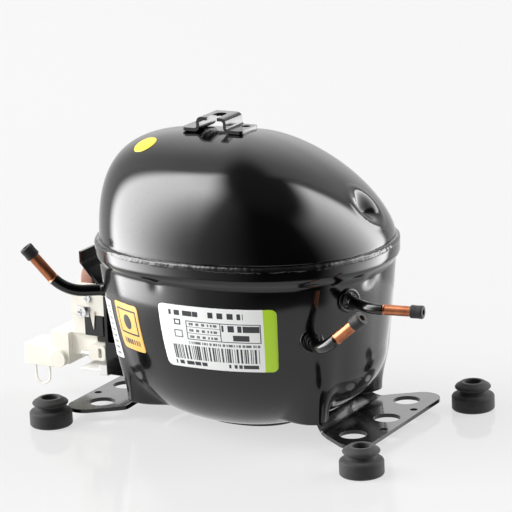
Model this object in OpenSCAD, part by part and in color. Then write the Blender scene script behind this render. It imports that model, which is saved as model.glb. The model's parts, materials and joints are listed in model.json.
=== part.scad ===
// Hermetic reciprocating compressor: a welded steel shell on two foot plates, with
// an electric motor and a one-cylinder pump hung on springs inside it.
// X is the long axis (+X is the end with the bare tubes, -X the electrical end), Z is up.
// The origin is the centre of the foot-hole pattern, on the underside of the plates.

/* [Shell] */
// Half length of the cover where it meets the seam
seam_a = 88.9; // [86:0.1:92]
// Half width of the cover where it meets the seam
seam_b = 72.4; // [70:0.1:75]
// Exponent of the oval plan outline, where 2 is a plain ellipse
plan_n = 2.25; // [2:0.05:2.5]
// Height of the weld seam above the plates' underside
seam_z = 106.2; // [104:0.1:108]
// Height of the cover's dome above the seam
dome_h = 62; // [58:0.5:66]
// Thickness of the shell's sheet steel
sheet = 3; // [2.5:0.1:3.5]
// Depth of the housing's round bottom below the plates' underside
belly = 5; // [4:0.5:6]

/* [Foot plates] */
// Spacing of the corner holes along the shell
foot_dx = 170; // [166:1:174]
// Spacing of the corner holes across the shell
foot_dy = 70; // [68:1:72]
// Diameter of the grommet holes
foot_hole = 16; // [14:0.5:17]
// Thickness of the plates
plate_t = 2.3; // [2:0.1:3]

/* [Grommets] */
// Diameter of the base disc
grommet_d = 25.6; // [24:0.2:28]
// Height of a loose grommet
grommet_h = 17; // [15:0.5:26]
// Diameter of the hole for the mounting stud
grommet_bore = 10; // [8:0.5:11]

/* [Tubes] */
// Outer diameter of the suction and process tubes
tube_d = 7; // [6:0.1:7.5]
// Outer diameter of the discharge tube
discharge_d = 6.2; // [5:0.1:6.5]
// Wall thickness of the tubes
tube_wall = 0.8; // [0.6:0.1:1]

/* [Pump] */
// Cylinder bore
bore_d = 25; // [22:0.5:26]
// Crank radius, half the stroke
crank_e = 8; // [7:0.5:9]
// Connecting rod length between centres
rod_l = 36; // [34:0.5:40]
// Crank angle from top dead centre at which the pump is drawn
crank_rest = 60; // [50:1:70]
// Position of the crankshaft along X
shaft_x = -12; // [-14:1:-10]
// Height of the cylinder's axis
cyl_z = 104; // [102:1:106]

/* [Hidden] */
$fn = 64;
gap = 0.05;          // running clearance between separate pieces
segments = 60;       // points round the shell
floor_z = -belly;    // what the compressor and its grommets stand on

// --- the shell as a stack of oval rings ------------------------------------------------

// Distance from the axis to an oval of half axes a and b, in the direction t
function oval(t, a, b) =
    pow(pow(abs(cos(t)) / a, plan_n) + pow(abs(sin(t)) / b, plan_n), -1 / plan_n);

// One oval ring: a_neg and a_pos are its half lengths towards -X and +X
function ring(a_neg, a_pos, b, cx, z) = [
    for (i = [0:segments - 1])
        let (t = 360 * i / segments, r = oval(t, cos(t) < 0 ? a_neg : a_pos, b))
            [cx + r * cos(t), r * sin(t), z]
];

// Closed solid through a list of rings, capped at both ends
module loft(rings) {
    n = len(rings[0]);
    last = len(rings) - 1;
    points = [for (r = rings) each r];
    sides = [
        for (k = [0:last - 1], i = [0:n - 1])
            let (j = (i + 1) % n, p = k * n, q = p + n)
                each [[p + i, q + i, q + j], [p + i, q + j, p + j]]
    ];
    bottom = [for (i = [0:n - 1]) i];
    top = [for (i = [n - 1:-1:0]) last * n + i];
    polyhedron(points, concat([bottom], sides, [top]));
}

// Closed solid through a loop of rings, the last of which joins the first
module loft_loop(rings) {
    n = len(rings[0]);
    count = len(rings);
    polyhedron(
        [for (r = rings) each r],
        [for (k = [0:count - 1], i = [0:n - 1])
            let (j = (i + 1) % n, p = k * n, q = ((k + 1) % count) * n)
                each [[p + i, q + i, q + j], [p + i, q + j, p + j]]]);
}

// The dome is steep towards -X and slopes towards +X
dome_neg = 3.68;     // exponent of the dome towards -X
dome_pos = 1.46;     // exponent towards +X
dome_side = 1.85;    // exponent towards the sides
dome_cx = 3.4;       // where the two halves meet
dome_steps = 13;
dome_last = 86;      // the dome's last ring, in degrees of its quarter turn
lip_z = 97.8;        // lower edge of the cover, inside the housing's rim

function round_off(h, p) = pow(1 - pow(h, p), 1 / p);
function dome_ring(h, inset) =
    ring((seam_a + dome_cx - inset) * round_off(h, dome_neg),
         (seam_a - dome_cx - inset) * round_off(h, dome_pos),
         (seam_b - inset) * round_off(h, dome_side), dome_cx,
         seam_z + (dome_h - inset) * h);
function dome_rings(inset) = [
    for (k = [0:dome_steps]) dome_ring(sin(dome_last * k / dome_steps), inset)
];
function reversed(v) = [for (i = [len(v) - 1:-1:0]) v[i]];

// Height of the dome's outside over the point x, 0
function dome_z(x) =
    let (u = x - dome_cx, p = u < 0 ? dome_neg : dome_pos,
         a = u < 0 ? seam_a + dome_cx : seam_a - dome_cx)
        seam_z + dome_h * pow(1 - pow(abs(u) / a, p), 1 / p);

module upper_cover() color([0.04, 0.04, 0.045])
    loft(concat(
        reversed(dome_rings(sheet)),
        [ring(seam_a - sheet, seam_a - sheet, seam_b - sheet, 0, lip_z)],
        [ring(seam_a, seam_a, seam_b, 0, lip_z), ring(seam_a, seam_a, seam_b, 0, rim_z + 0.1)],
        dome_rings(0)));

// The housing: a tapered bowl with a corner lobe over each foot weld
neck_z = 92;         // where the rim starts to flare
bowl_z = 40;         // where the wall starts to curve in
bowl_scale = 0.909;  // size of the section there, against the seam
bowl_n = 2.17;       // exponent of the bottom's curve
bowl_shift = 1.6;    // how far the bowl's lower part stands towards +X
bowl_flat = 0.34;    // size of the flat bottom, against the seam
side_in = 2.2;       // exponents of the long sides, which stand upright below the neck
side_out = 3.15;
lobe_x = 57;         // centre of a lobe
lobe_y = 34;
lobe_r = 76;         // distance from the axis to a lobe's outer side
lobe_half = 17;      // half the angle that a lobe takes up
lobe_z = 6.3;        // flat underside of the lobes, on the plates
lobe_blend = 14;     // exponent that blends a lobe into the bowl
rim_out = 2.6;       // how far the rim stands outside the cover
rim_z = 105.2;       // top of the rim

function wall_scale(z) =
    z > bowl_z ? bowl_scale + (1 - bowl_scale) * (z - bowl_z) / (neck_z - bowl_z)
    : max(bowl_flat, bowl_scale * pow(max(0, 1 - pow((bowl_z - z) / (bowl_z + belly), bowl_n)), 1 / bowl_n));
function side_scale(z) =
    max(bowl_flat, pow(max(0, 1 - pow(max(0, neck_z - z) / (neck_z + belly), side_in)), 1 / side_out));
function wall_shift(z) = bowl_shift * min(1, (neck_z - z) / (neck_z - bowl_z));
lobe_turn = atan(lobe_y / lobe_x);
function lobe_angle(t) =
    min([for (s = [-1, 1], e = [0, 180]) abs((t - e - s * lobe_turn + 540) % 360 - 180)]);
function lobe_reach(t) =
    lobe_angle(t) < lobe_half ? lobe_r * sqrt(1 - pow(lobe_angle(t) / lobe_half, 2)) : 0;
function blend(r, l) = r * pow(1 + pow(l / r, lobe_blend), 1 / lobe_blend);
function bowl_ring(z, inset, with_lobes) = [
    for (i = [0:segments - 1])
        let (t = 360 * i / segments, s = wall_scale(z),
             r = oval(t, seam_a * s - inset, seam_b * side_scale(z) - inset),
             q = with_lobes ? blend(r, lobe_reach(t)) : r)
            [wall_shift(z) + q * cos(t), q * sin(t), z]
];
outer_z = [-belly, -belly + 1.2, -belly + 3.6, 1.5, lobe_z];
lobed_z = [lobe_z, lobe_z + 1.5, 12, 18, 25, 32, bowl_z, 48, 60, 76, neck_z];
inner_z = [90, 76, 60, 48, bowl_z, 30, 21, 14, 8, 4, 1, sheet - belly];

function rim_ring(extra, z) = ring(seam_a + extra, seam_a + extra, seam_b + extra, 0, z);

module lower_housing() color([0.04, 0.04, 0.045])
    difference() {
        loft(concat(
            [for (z = outer_z) bowl_ring(z, 0, false)],
            [for (z = lobed_z) bowl_ring(z, 0, true)],
            [rim_ring(rim_out - 0.6, neck_z + 2), rim_ring(rim_out, neck_z + 4.5),
             rim_ring(rim_out, rim_z - 3), rim_ring(rim_out - 0.7, rim_z),
             rim_ring(gap, rim_z), rim_ring(gap, lip_z - gap), rim_ring(-sheet, lip_z - gap)],
            [for (z = inner_z) bowl_ring(z, sheet, false)]));
        at_port(suction_port) port_hole(tube_d);
        at_port(discharge_port) port_hole(discharge_d);
        at_port(process_port) port_hole(tube_d);
        translate([term_x, term_y, term_z])
            rotate([0, -90, 0])
                cylinder(r = term_r + gap, h = 40, center = true);
    }

// The weld runs round the seam on top of the rim
bead_r = 1.7;
bead_sides = 8;
bead_segments = 90;
function bead_point(i, k) =
    let (t = 360 * i / bead_segments, v = 360 * k / bead_sides,
         r = oval(t, seam_a + 1.1, seam_b + 1.1) + bead_r * cos(v))
        [r * cos(t), r * sin(t), rim_z + 0.3 + bead_r * sin(v)];
module weld_bead() color([0.22, 0.22, 0.23])
    polyhedron(
        [for (i = [0:bead_segments - 1], k = [0:bead_sides - 1]) bead_point(i, k)],
        [for (i = [0:bead_segments - 1], k = [0:bead_sides - 1])
            let (a = i * bead_sides, b = ((i + 1) % bead_segments) * bead_sides, m = (k + 1) % bead_sides)
                each [[a + k, a + m, b + m], [a + k, b + m, b + k]]]);

// --- foot plates -----------------------------------------------------------------------

plate_out = 102;     // straight outer edge
plate_wide = 54;     // half width at the outer corners
plate_step = 64;     // where the plate steps up towards the lobes
plate_neck = 32;     // half width of its inner part
plate_mid = [71, 42.2]; // where its sides turn outwards
plate_lift = lobe_z - plate_t;
plate_in = 43;       // inner ends, beneath the lobes
bowl_clear = 2;      // gap between a plate and the bowl

module plate_outline() {
    hull() {
        for (y = [-1, 1])
            translate([plate_out - 11, y * (plate_wide - 11)])
                circle(11);
        translate([plate_step - 4, -plate_neck])
            square([1, 2 * plate_neck]);
        translate([plate_mid[0], -plate_mid[1]])
            square([1, 2 * plate_mid[1]]);
    }
    translate([plate_in, -plate_neck])
        square([plate_step - plate_in, 2 * plate_neck]);
}

module foot_plate() color([0.05, 0.05, 0.055])
    difference() {
        intersection() {
            linear_extrude(20)
                plate_outline();
            translate([0, 60, 0])
                rotate([90, 0, 0])
                    linear_extrude(120)
                        polygon([
                            [plate_in - 1, plate_lift], [plate_step - 3, plate_lift], [plate_step + 2, 0],
                            [plate_out + 1, 0], [plate_out + 1, plate_t], [plate_step + 2.8, plate_t],
                            [plate_step - 2.2, lobe_z - gap], [plate_in - 1, lobe_z - gap]
                        ]);
        }
        translate([0, 0, -1])
            linear_extrude(20)
                polygon([
                    for (t = [-60:4:60])
                        let (a = seam_a * wall_scale(lobe_z) + bowl_clear,
                             b = seam_b * side_scale(lobe_z) + bowl_clear, r = oval(t, a, b))
                            [bowl_shift + r * cos(t), r * sin(t)],
                    [0, 0]
                ]);
        for (p = [[foot_dx / 2, -foot_dy / 2], [foot_dx / 2 + 4.2, 0], [foot_dx / 2, foot_dy / 2]])
            translate([p[0], p[1], -1])
                cylinder(d = foot_hole, h = plate_t + 2);
        for (y = [-20, 20])
            translate([foot_dx / 2 + 12, y, -1])
                cylinder(d = 4.6, h = plate_t + 2);
    }

module right_foot_plate() foot_plate();
module left_foot_plate() mirror([1, 0, 0]) foot_plate();

// --- loose rubber grommets -------------------------------------------------------------

// Where the four grommets stand beside the compressor
front_spot = [111.6, -76.9];
right_spot = [119, 55.5];
left_spot = [-102, -65.5];
rear_spot = [-96, 72];
base_h = 8.4;        // wide base
neck_r = 8;          // groove the foot plate snaps into
flange_r = 10.9;     // head that holds it there
flange_z = 13.9;

module grommet(spot) color([0.10, 0.10, 0.105])
    translate([spot[0], spot[1], floor_z])
        rotate_extrude()
            polygon([
                [grommet_bore / 2, 0], [grommet_d / 2 - 0.8, 0], [grommet_d / 2, 0.8],
                [grommet_d / 2, base_h], [grommet_d / 2 - 1, base_h + 1], [neck_r + 0.6, base_h + 1.4],
                [neck_r, base_h + 2], [neck_r, flange_z - 1.6], [flange_r - 0.4, flange_z - 0.8],
                [flange_r, flange_z], [flange_r - 1.2, grommet_h - 1.7], [7.6, grommet_h - 0.7],
                [6.7, grommet_h], [grommet_bore / 2, grommet_h]
            ]);
module front_grommet() grommet(front_spot);
module right_grommet() grommet(right_spot);
module left_grommet() grommet(left_spot);
module rear_grommet() grommet(rear_spot);

// --- bracket on top of the cover -------------------------------------------------------

tray_x = -15;
tray_w = 20;         // width of the strip
tray_t = 2;          // thickness of the strip
tray_span = 16;      // inside width of the bridge
tray_h = 9;          // height of the bridge
tray_foot = 10.5;    // length of each foot
tray_z = dome_z(tray_x) - 0.4;

module top_tray_bracket() color([0.05, 0.05, 0.055])
    difference() {
        union() {
            translate([tray_x, tray_w / 2, tray_z])
                rotate([90, 0, 0])
                    linear_extrude(tray_w)
                        difference() {
                            union() {
                                translate([-tray_span / 2 - tray_t - tray_foot, 0])
                                    square([tray_span + 2 * (tray_t + tray_foot), tray_t]);
                                translate([-tray_span / 2 - tray_t, 0])
                                    square([tray_span + 2 * tray_t, tray_h - 2]);
                                for (s = [-1, 1])
                                    translate([s * (tray_span / 2 + tray_t - 2), tray_h - 2])
                                        circle(2);
                                translate([-tray_span / 2 - tray_t + 2, tray_h - 3])
                                    square([tray_span + 2 * tray_t - 4, 3]);
                            }
                            translate([-tray_span / 2, -1])
                                square([tray_span, tray_h - tray_t + 1]);
                        }
            for (s = [-1, 1])
                translate([tray_x + s * 13.5, 0, tray_z - 2.4])
                    cylinder(d = 5, h = 3);
        }
        translate([tray_x - 3, -tray_w, tray_z + tray_h / 2])
            cube([7, tray_w + 4, tray_h]);
        for (s = [-1, 1])
            translate([tray_x + s * (tray_span / 2 + tray_t + tray_foot / 2), 5, tray_z - 1])
                cylinder(d = 5.2, h = 4);
    }

// --- tubes through the housing ---------------------------------------------------------

// A port: place on the housing's outside, direction of its normal in the XY plane, turn of
// the bend about that normal, bend angle, straight lengths before and after, bend radius
suction_port = [[-78.8, -29.7, 71.6], 209.9, 88.8, 52.5, 14.6, 22.3, 24.6];
discharge_port = [[82.8, -30.6, 81], -29.8, 0, 36.7, 17.4, 25.4, 15];
process_port = [[66.8, -47.7, 60.2], -47.8, 48.7, 59.2, 12.6, 23.2, 18];
tube_in = 6;         // how far a tube reaches inside the housing
cap_l = 7.2;         // length of a rubber cap

module at_port(p) translate(p[0]) rotate([0, 0, p[1]]) rotate([p[2], 0, 0]) children();
module at_tube_end(p)
    at_port(p)
        translate([p[4], p[6], 0])
            rotate([0, 0, p[3]])
                translate([p[5], -p[6], 0])
                    rotate([0, 90, 0])
                        children();
module port_hole(d) translate([-15, 0, 0]) rotate([0, 90, 0]) cylinder(d = d + 2 * gap, h = 25);
module annulus(d) difference() {
    circle(d = d);
    circle(d = d - 2 * tube_wall);
}
bend_sides = 16;
bend_steps = 8;
// Points round a tube of radius r, at the distance along its path that step k stands for
function bend_point(p, r, k, i) =
    let (v = 360 * i / bend_sides, turn = p[3] * max(0, min(1, (k - 1) / bend_steps)),
         reach = p[6] - r * cos(v), run = k == 0 ? -tube_in - p[4] : k > bend_steps + 1 ? bend_lap : 0)
        [p[4] + reach * sin(turn) + run * cos(turn), p[6] - reach * cos(turn) + run * sin(turn), r * sin(v)];
bend_lap = 2;        // how far the bent length runs inside the straight end
skin = 0.08;         // how far its facets stay within the true wall
// The tube up to the end of its bend: outside forward, inside back
module bend(p, r_out, r_in)
    loft_loop(concat(
        [for (k = [0:bend_steps + 2]) [for (i = [0:bend_sides - 1]) bend_point(p, r_out, k, i)]],
        [for (k = [bend_steps + 2:-1:0]) [for (i = [0:bend_sides - 1]) bend_point(p, r_in, k, i)]]));
module bent_tube(p, d)
    at_port(p) {
        bend(p, d / 2 - skin / 2, d / 2 - tube_wall + skin);
        translate([p[4], p[6], 0])
            rotate([0, 0, p[3]])
                translate([0, -p[6], 0])
                    rotate([0, 90, 0])
                        linear_extrude(p[5])
                            annulus(d);
    }
module suction_tube() color([0.78, 0.42, 0.28]) bent_tube(suction_port, tube_d);
module discharge_tube() color([0.78, 0.42, 0.28]) bent_tube(discharge_port, discharge_d);
module process_tube() color([0.78, 0.42, 0.28]) bent_tube(process_port, tube_d);

// Brazed steel collar round a tube, bedded in the housing's wall
module collar(p, d) color([0.05, 0.05, 0.055])
    at_port(p)
        rotate([0, 90, 0])
            rotate_extrude()
                polygon([
                    [d / 2 + gap, -1.8], [7.2, -1.8], [7.2, 0.9], [6.4, 1.7],
                    [d / 2 + 2, 2.3], [d / 2 + 0.9, 5], [d / 2 + gap, 5.2]
                ]);
module suction_collar() collar(suction_port, tube_d);
module discharge_collar() collar(discharge_port, discharge_d);
module process_collar() collar(process_port, tube_d);

// Rubber cap pushed over a tube's open end, with a vent hole through its face
module cap(p, d) color([0.16, 0.16, 0.17])
    at_tube_end(p)
        rotate_extrude()
            polygon([
                [d / 2 + gap, 1 - cap_l], [d / 2 + 0.75, 1 - cap_l], [d / 2 + 0.75, 0.7],
                [d / 2 + 0.4, 1.2], [d / 4, 1.2], [d / 4, 0.02], [d / 2 + gap, 0.02]
            ]);
module suction_cap() cap(suction_port, tube_d);
module discharge_cap() cap(discharge_port, discharge_d);
module process_cap() cap(process_port, tube_d);

// --- electrical end --------------------------------------------------------------------

term_x = -80.5;      // face of the hermetic terminal
term_y = -2;
term_z = 48;
term_r = 15;
pin_ring = 6.5;      // distance of the three pins from the terminal's centre

module at_terminal() translate([term_x, term_y, term_z]) rotate([0, -90, 0]) children();

module terminal_header() color([0.55, 0.55, 0.56])
    at_terminal()
        difference() {
            rotate_extrude()
                polygon([[0, -4], [term_r, -4], [term_r, 4], [12.4, 4], [11.4, -1.6], [0, -1.6]]);
            for (a = [0, 120, 240])
                rotate([0, 0, a])
                    translate([pin_ring, 0, -5])
                        cylinder(r = 3, h = 8);
        }
module terminal_glass() color([0.35, 0.42, 0.38])
    at_terminal()
        for (a = [0, 120, 240])
            rotate([0, 0, a])
                translate([pin_ring, 0, -4])
                    difference() {
                        cylinder(r = 3, h = 3.2);
                        translate([0, 0, -1])
                            cylinder(r = 1.6, h = 6);
                    }
module terminal_pins() color([0.80, 0.78, 0.72])
    at_terminal()
        for (a = [0, 120, 240])
            rotate([0, 0, a])
                translate([pin_ring, 0, -14])
                    cylinder(r = 1.6, h = 22);

// Black steel bracket welded to the housing round the terminal. Its top leaves the wall as a
// folded strip that ends in an upright tab
arm_y = [-28.6, -6]; // near and far edges of the strip
module terminal_bracket() color([0.05, 0.05, 0.055]) {
    difference() {
        translate([-87.4, -24, 16])
            cube([2, 44, 56]);
        at_terminal()
            translate([0, 0, -10])
                cylinder(r = 17.5, h = 30);
    }
    for (y = [-24, 16])
        translate([-87.4, y, 16])
            cube([12, 4, 20]);
    translate([0, arm_y[1], 0])
        rotate([90, 0, 0])
            linear_extrude(arm_y[1] - arm_y[0])
                polygon([[-85.5, 69], [-85.5, 72.9], [-97.9, 86.6], [-97.9, 93], [-99.7, 93],
                         [-99.7, 85.9], [-87.3, 72.1], [-87.3, 69]]);
}
klixon_z = 71.2;     // centre of the round motor protector
klixon_r = 10.2;
module overload_protector() color([0.42, 0.16, 0.10])
    translate([-107, -8, klixon_z])
        rotate([0, 90, 0])
            rotate_extrude()
                polygon([
                    [0, 0], [9, 0], [klixon_r, 1.4], [klixon_r, 8.4], [klixon_r - 0.8, 9.2], [5, 9.2],
                    [5, 13.6], [0, 13.6]
                ]);

holder_y = -20;      // nearest face of the plastic blocks
spike_t = 0.7;       // thickness of the holder's pointed tab
module protector_holder() color([0.90, 0.87, 0.78])
    difference() {
        union() {
            translate([-113, holder_y, 51])
                cube([25, 34, 15.6]);
            translate([-109, holder_y + 1, 66])
                cube([18, 22, 4.5]);
            translate([-113, holder_y + 2, 38])
                cube([8.8, 28, 13.1]);
            translate([-99.5, holder_y - spike_t - 0.05, 51.1])
                cube([3.4, 2, 2.4]);
            translate([0, holder_y - 0.05, 0])
                rotate([90, 0, 0])
                    linear_extrude(spike_t)
                        polygon([[-99.5, 52], [-96.1, 52], [-97.2, 42]]);
        }
        translate([-107 - gap, -8, klixon_z])
            rotate([0, 90, 0])
                cylinder(r = klixon_r + gap, h = 17);
        translate([-107, holder_y + 4, 45])
            cube([15, 26, 14]);
        at_terminal()
            translate([0, 0, 5])
                cylinder(r = 15, h = 8);
    }
module terminal_cover() color([0.06, 0.06, 0.065])
    difference() {
        translate([-104, holder_y, 38])
            cube([13, 34, 12.8]);
        translate([-102, holder_y + 2, 36])
            cube([9, 30, 12.8]);
        at_terminal()
            translate([0, 0, 5])
                cylinder(r = 15, h = 8);
    }
module start_relay() color([0.90, 0.86, 0.75]) {
    difference() {
        union() {
            translate([-129, holder_y, 18])
                cube([12.5, 30, 19.8]);
            translate([-123.5, 7, 21.2])
                rotate([90, 0, 0])
                    cylinder(r = 5.4, h = 30);
        }
        translate([-127, holder_y + 2, 20])
            cube([8.5, 26, 15.8]);
    }
    translate([-116.6, holder_y + 4, 24])
        cube([18.6, 22, 13.9]);
}
module cord_connector() color([0.91, 0.88, 0.79])
    difference() {
        translate([-150, holder_y + 1, 14.5])
            cube([20.9, 20, 13]);
        translate([-151, holder_y + 3.5, 17])
            cube([16, 15, 8]);
    }
clip_d = 1.2;
clip_top = 14.4;
module wire_clip() color([0.88, 0.86, 0.80])
    translate([-145.5, holder_y + 6, clip_top])
        rotate([90, 0, 0]) {
            translate([5, -8, -clip_d / 2])
                rotate_extrude(angle = 180, start = 180)
                    translate([5, 0])
                        circle(d = clip_d, $fn = 24);
            for (x = [0, 10])
                translate([x, -8, -clip_d / 2])
                    rotate([-90, 0, 0])
                        cylinder(d = clip_d, h = 8, $fn = 24);
        }
clamp_y = holder_y - 4.1;
clamp_z = 26.4;      // height of the clamp's screw
module cable_clamp() color([0.90, 0.88, 0.82])
    difference() {
        hull()
            for (x = [-97.3, -90.2], z = [clamp_z, clamp_z + 4.6])
                translate([x, clamp_y, z])
                    rotate([-90, 0, 0])
                        cylinder(r = 2.4, h = 8);
        hull()
            for (z = [clamp_z + 0.4, clamp_z + 4.2])
                translate([-91.6, clamp_y - 1, z])
                    rotate([-90, 0, 0])
                        cylinder(r = 1.2, h = 10);
        translate([-103, clamp_y + 4, clamp_z])
            rotate([0, 90, 0])
                cylinder(d = 3 + 2 * gap, h = 6.5);
    }
module screw(d, length, head, head_h) {
    translate([0, 0, -length])
        cylinder(d = d, h = length);
    difference() {
        cylinder(d = head, h = head_h);
        for (a = [0, 90])
            rotate([0, 0, a])
                translate([-head / 3, -0.4, head_h / 2])
                    cube([head * 2 / 3, 0.8, head_h]);
    }
}
module clamp_screw() color([0.75, 0.75, 0.76])
    translate([-106.5, clamp_y + 4, clamp_z])
        rotate([0, 90, 0])
            cylinder(d = 3, h = 9.9);
module earth_screw() color([0.78, 0.78, 0.79]) {
    translate([-104.2, holder_y, 53])
        rotate([90, 0, 0]) {
            translate([-4.2, -3.2, 0])
                cube([8.4, 6.4, 0.9]);
            translate([0, 0, 0.9])
                screw(3, 3.6, 6.4, 2.2);
        }
    translate([-101, holder_y, 61.3])
        rotate([90, 0, 0])
            screw(3, 3, 4.6, 1.2);
}
module lower_bracket() color([0.88, 0.88, 0.86]) {
    translate([-93.5, holder_y - 3, 14.5])
        cube([6, 30, 6.3]);
    translate([-107, holder_y - 3, 16])
        cube([13.5, 24, 1.9]);
}

// --- labels ----------------------------------------------------------------------------

label_t = 0.25;
label_off = 0.25;
// A thin sheet that follows the housing from angle t0 to t1 and from height z0 to z1
module housing_label(t0, t1, z0, z1, steps) {
    levels = 4;
    function spot(i, k, d) =
        let (t = t0 + (t1 - t0) * i / steps, z = z0 + (z1 - z0) * k / levels, s = wall_scale(z),
             r = blend(oval(t, seam_a * s, seam_b * side_scale(z)), lobe_reach(t)) + label_off + d)
            [wall_shift(z) + r * cos(t), r * sin(t), z];
    grid = (steps + 1) * (levels + 1);
    function id(i, k, side) = side * grid + k * (steps + 1) + i;
    points = [for (side = [0, 1], k = [0:levels], i = [0:steps]) spot(i, k, side * label_t)];
    faces = concat(
        [for (k = [0:levels - 1], i = [0:steps - 1])
            each [[id(i, k, 0), id(i + 1, k + 1, 0), id(i + 1, k, 0)],
                  [id(i, k, 0), id(i, k + 1, 0), id(i + 1, k + 1, 0)]]],
        [for (k = [0:levels - 1], i = [0:steps - 1])
            each [[id(i, k, 1), id(i + 1, k, 1), id(i + 1, k + 1, 1)],
                  [id(i, k, 1), id(i + 1, k + 1, 1), id(i, k + 1, 1)]]],
        [for (i = [0:steps - 1])
            each [[id(i, 0, 0), id(i + 1, 0, 0), id(i + 1, 0, 1)],
                  [id(i, 0, 0), id(i + 1, 0, 1), id(i, 0, 1)],
                  [id(i, levels, 0), id(i + 1, levels, 1), id(i + 1, levels, 0)],
                  [id(i, levels, 0), id(i, levels, 1), id(i + 1, levels, 1)]]],
        [for (k = [0:levels - 1])
            each [[id(0, k, 0), id(0, k, 1), id(0, k + 1, 1)],
                  [id(0, k, 0), id(0, k + 1, 1), id(0, k + 1, 0)],
                  [id(steps, k, 0), id(steps, k + 1, 1), id(steps, k, 1)],
                  [id(steps, k, 0), id(steps, k + 1, 0), id(steps, k + 1, 1)]]]);
    polyhedron(points, faces);
}
module rating_label() color([0.92, 0.93, 0.92]) housing_label(254, 310.3, 42, 80.5, 14);
module caution_label() color([0.95, 0.60, 0.10]) housing_label(223, 240.5, 45.5, 74.5, 6);
module side_label() color([0.90, 0.90, 0.90]) housing_label(211, 218.5, 36, 72, 3);
// Round sticker on the dome: a point of the dome, the tilt of its normal and the normal's direction
dot_spot = [-53.7, -20.9, 160.3];
dot_tilt = 26.2;
dot_turn = -119.6;
module dot_sticker() color([0.93, 0.82, 0.15])
    translate(dot_spot)
        rotate([0, dot_tilt, dot_turn])
            cylinder(r = 7.5, h = 0.3);

// --- inside: springs and pump ----------------------------------------------------------

bolt_reach = 31;     // distance of the stator bolts from the shaft, along X and along Y
bolt_spots = [for (x = [-1, 1], y = [-1, 1]) [shaft_x + bolt_reach * x, bolt_reach * y]];
seat_r = 6;
spring_z0 = 15;      // lower end of the springs
spring_z1 = 31;      // upper end of the springs
stator_z0 = 36;
stator_z1 = 68;
stator_side = 90;
frame_z = 84;        // underside of the crankcase's deck
deck_t = 8;

// Height of the bowl's outside under the point x, y
function belly_z(x, y) =
    let (s = pow(pow(abs(x - bowl_shift) / seam_a, plan_n) + pow(abs(y) / seam_b, plan_n), 1 / plan_n))
        bowl_z - (bowl_z + belly) * pow(1 - pow(s / bowl_scale, bowl_n), 1 / bowl_n);

// Stub pins and spring seats, welded into the bowl
module spring_seats() color([0.30, 0.30, 0.31])
    for (p = bolt_spots)
        let (u = p / norm(p), far = p + seat_r * u, pin_foot = belly_z(p[0], p[1]) + 1.5,
             seat_foot = min(belly_z(far[0], far[1]) + 1.5, spring_z0 - 2)) {
            translate([p[0], p[1], pin_foot])
                cylinder(r = 3.6, h = 22 - pin_foot);
            translate([p[0], p[1], seat_foot])
                cylinder(r = seat_r, h = spring_z0 - seat_foot);
        }
// Plastic cups that hold the springs' upper ends to the stator's bolt heads
module spring_cups() color([0.75, 0.72, 0.62])
    for (p = bolt_spots)
        translate([p[0], p[1], spring_z1])
            difference() {
                union() {
                    cylinder(r = 7, h = stator_z0 - spring_z1 - gap);
                    translate([0, 0, -5])
                        cylinder(r = 3.4, h = 6);
                }
                translate([0, 0, 1.3])
                    cylinder(r = 5.3, h = 5);
            }
coil_turns = 5;
coil_r = 5.6;
coil_d = 1.7;
coil_steps = 12;
coil_sides = 6;
// A spring's wire: rings of points along a helix
module helix(turns, r, d, h) {
    n = turns * coil_steps;
    loft([
        for (i = [0:n])
            let (t = 360 * i / coil_steps)
                [for (k = [0:coil_sides - 1])
                    let (v = -360 * k / coil_sides, q = r + d / 2 * cos(v))
                        [q * cos(t), q * sin(t), d / 2 + (h - d) * i / n + d / 2 * sin(v)]]
    ]);
}
module suspension_springs() color([0.45, 0.46, 0.48])
    for (p = bolt_spots)
        translate([p[0], p[1], spring_z0 + gap])
            helix(coil_turns, coil_r, coil_d, spring_z1 - spring_z0 - 2 * gap);

module stator_core() color([0.45, 0.45, 0.47])
    translate([shaft_x, 0, stator_z0])
        linear_extrude(stator_z1 - stator_z0)
            difference() {
                intersection() {
                    square(stator_side, center = true);
                    rotate(45)
                        square(stator_side * 1.22, center = true);
                }
                circle(r = 27.4);
                for (a = [0:15:345])
                    rotate(a)
                        translate([29.5, -1.6])
                            square([7.5, 3.2]);
                for (x = [-1, 1], y = [-1, 1])
                    translate([bolt_reach * x, bolt_reach * y])
                        circle(r = 2.6);
            }
module stator_windings() color([0.72, 0.36, 0.16])
    translate([shaft_x, 0, 0])
        for (z = [stator_z0 - 11, stator_z1 + gap])
            translate([0, 0, z])
                rotate_extrude()
                    polygon([[29.5, 0], [34.3, 0], [36.3, 3], [36.3, 8], [34.3, 11 - gap], [29.5, 11 - gap]]);
module stator_bolts() color([0.55, 0.55, 0.57])
    for (p = bolt_spots)
        translate([p[0], p[1], stator_z0 - 3.6]) {
            cylinder(r = 4.6, h = 3.6 - gap, $fn = 6);
            cylinder(r = 2.5, h = frame_z + deck_t + 1 - stator_z0);
        }

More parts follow.
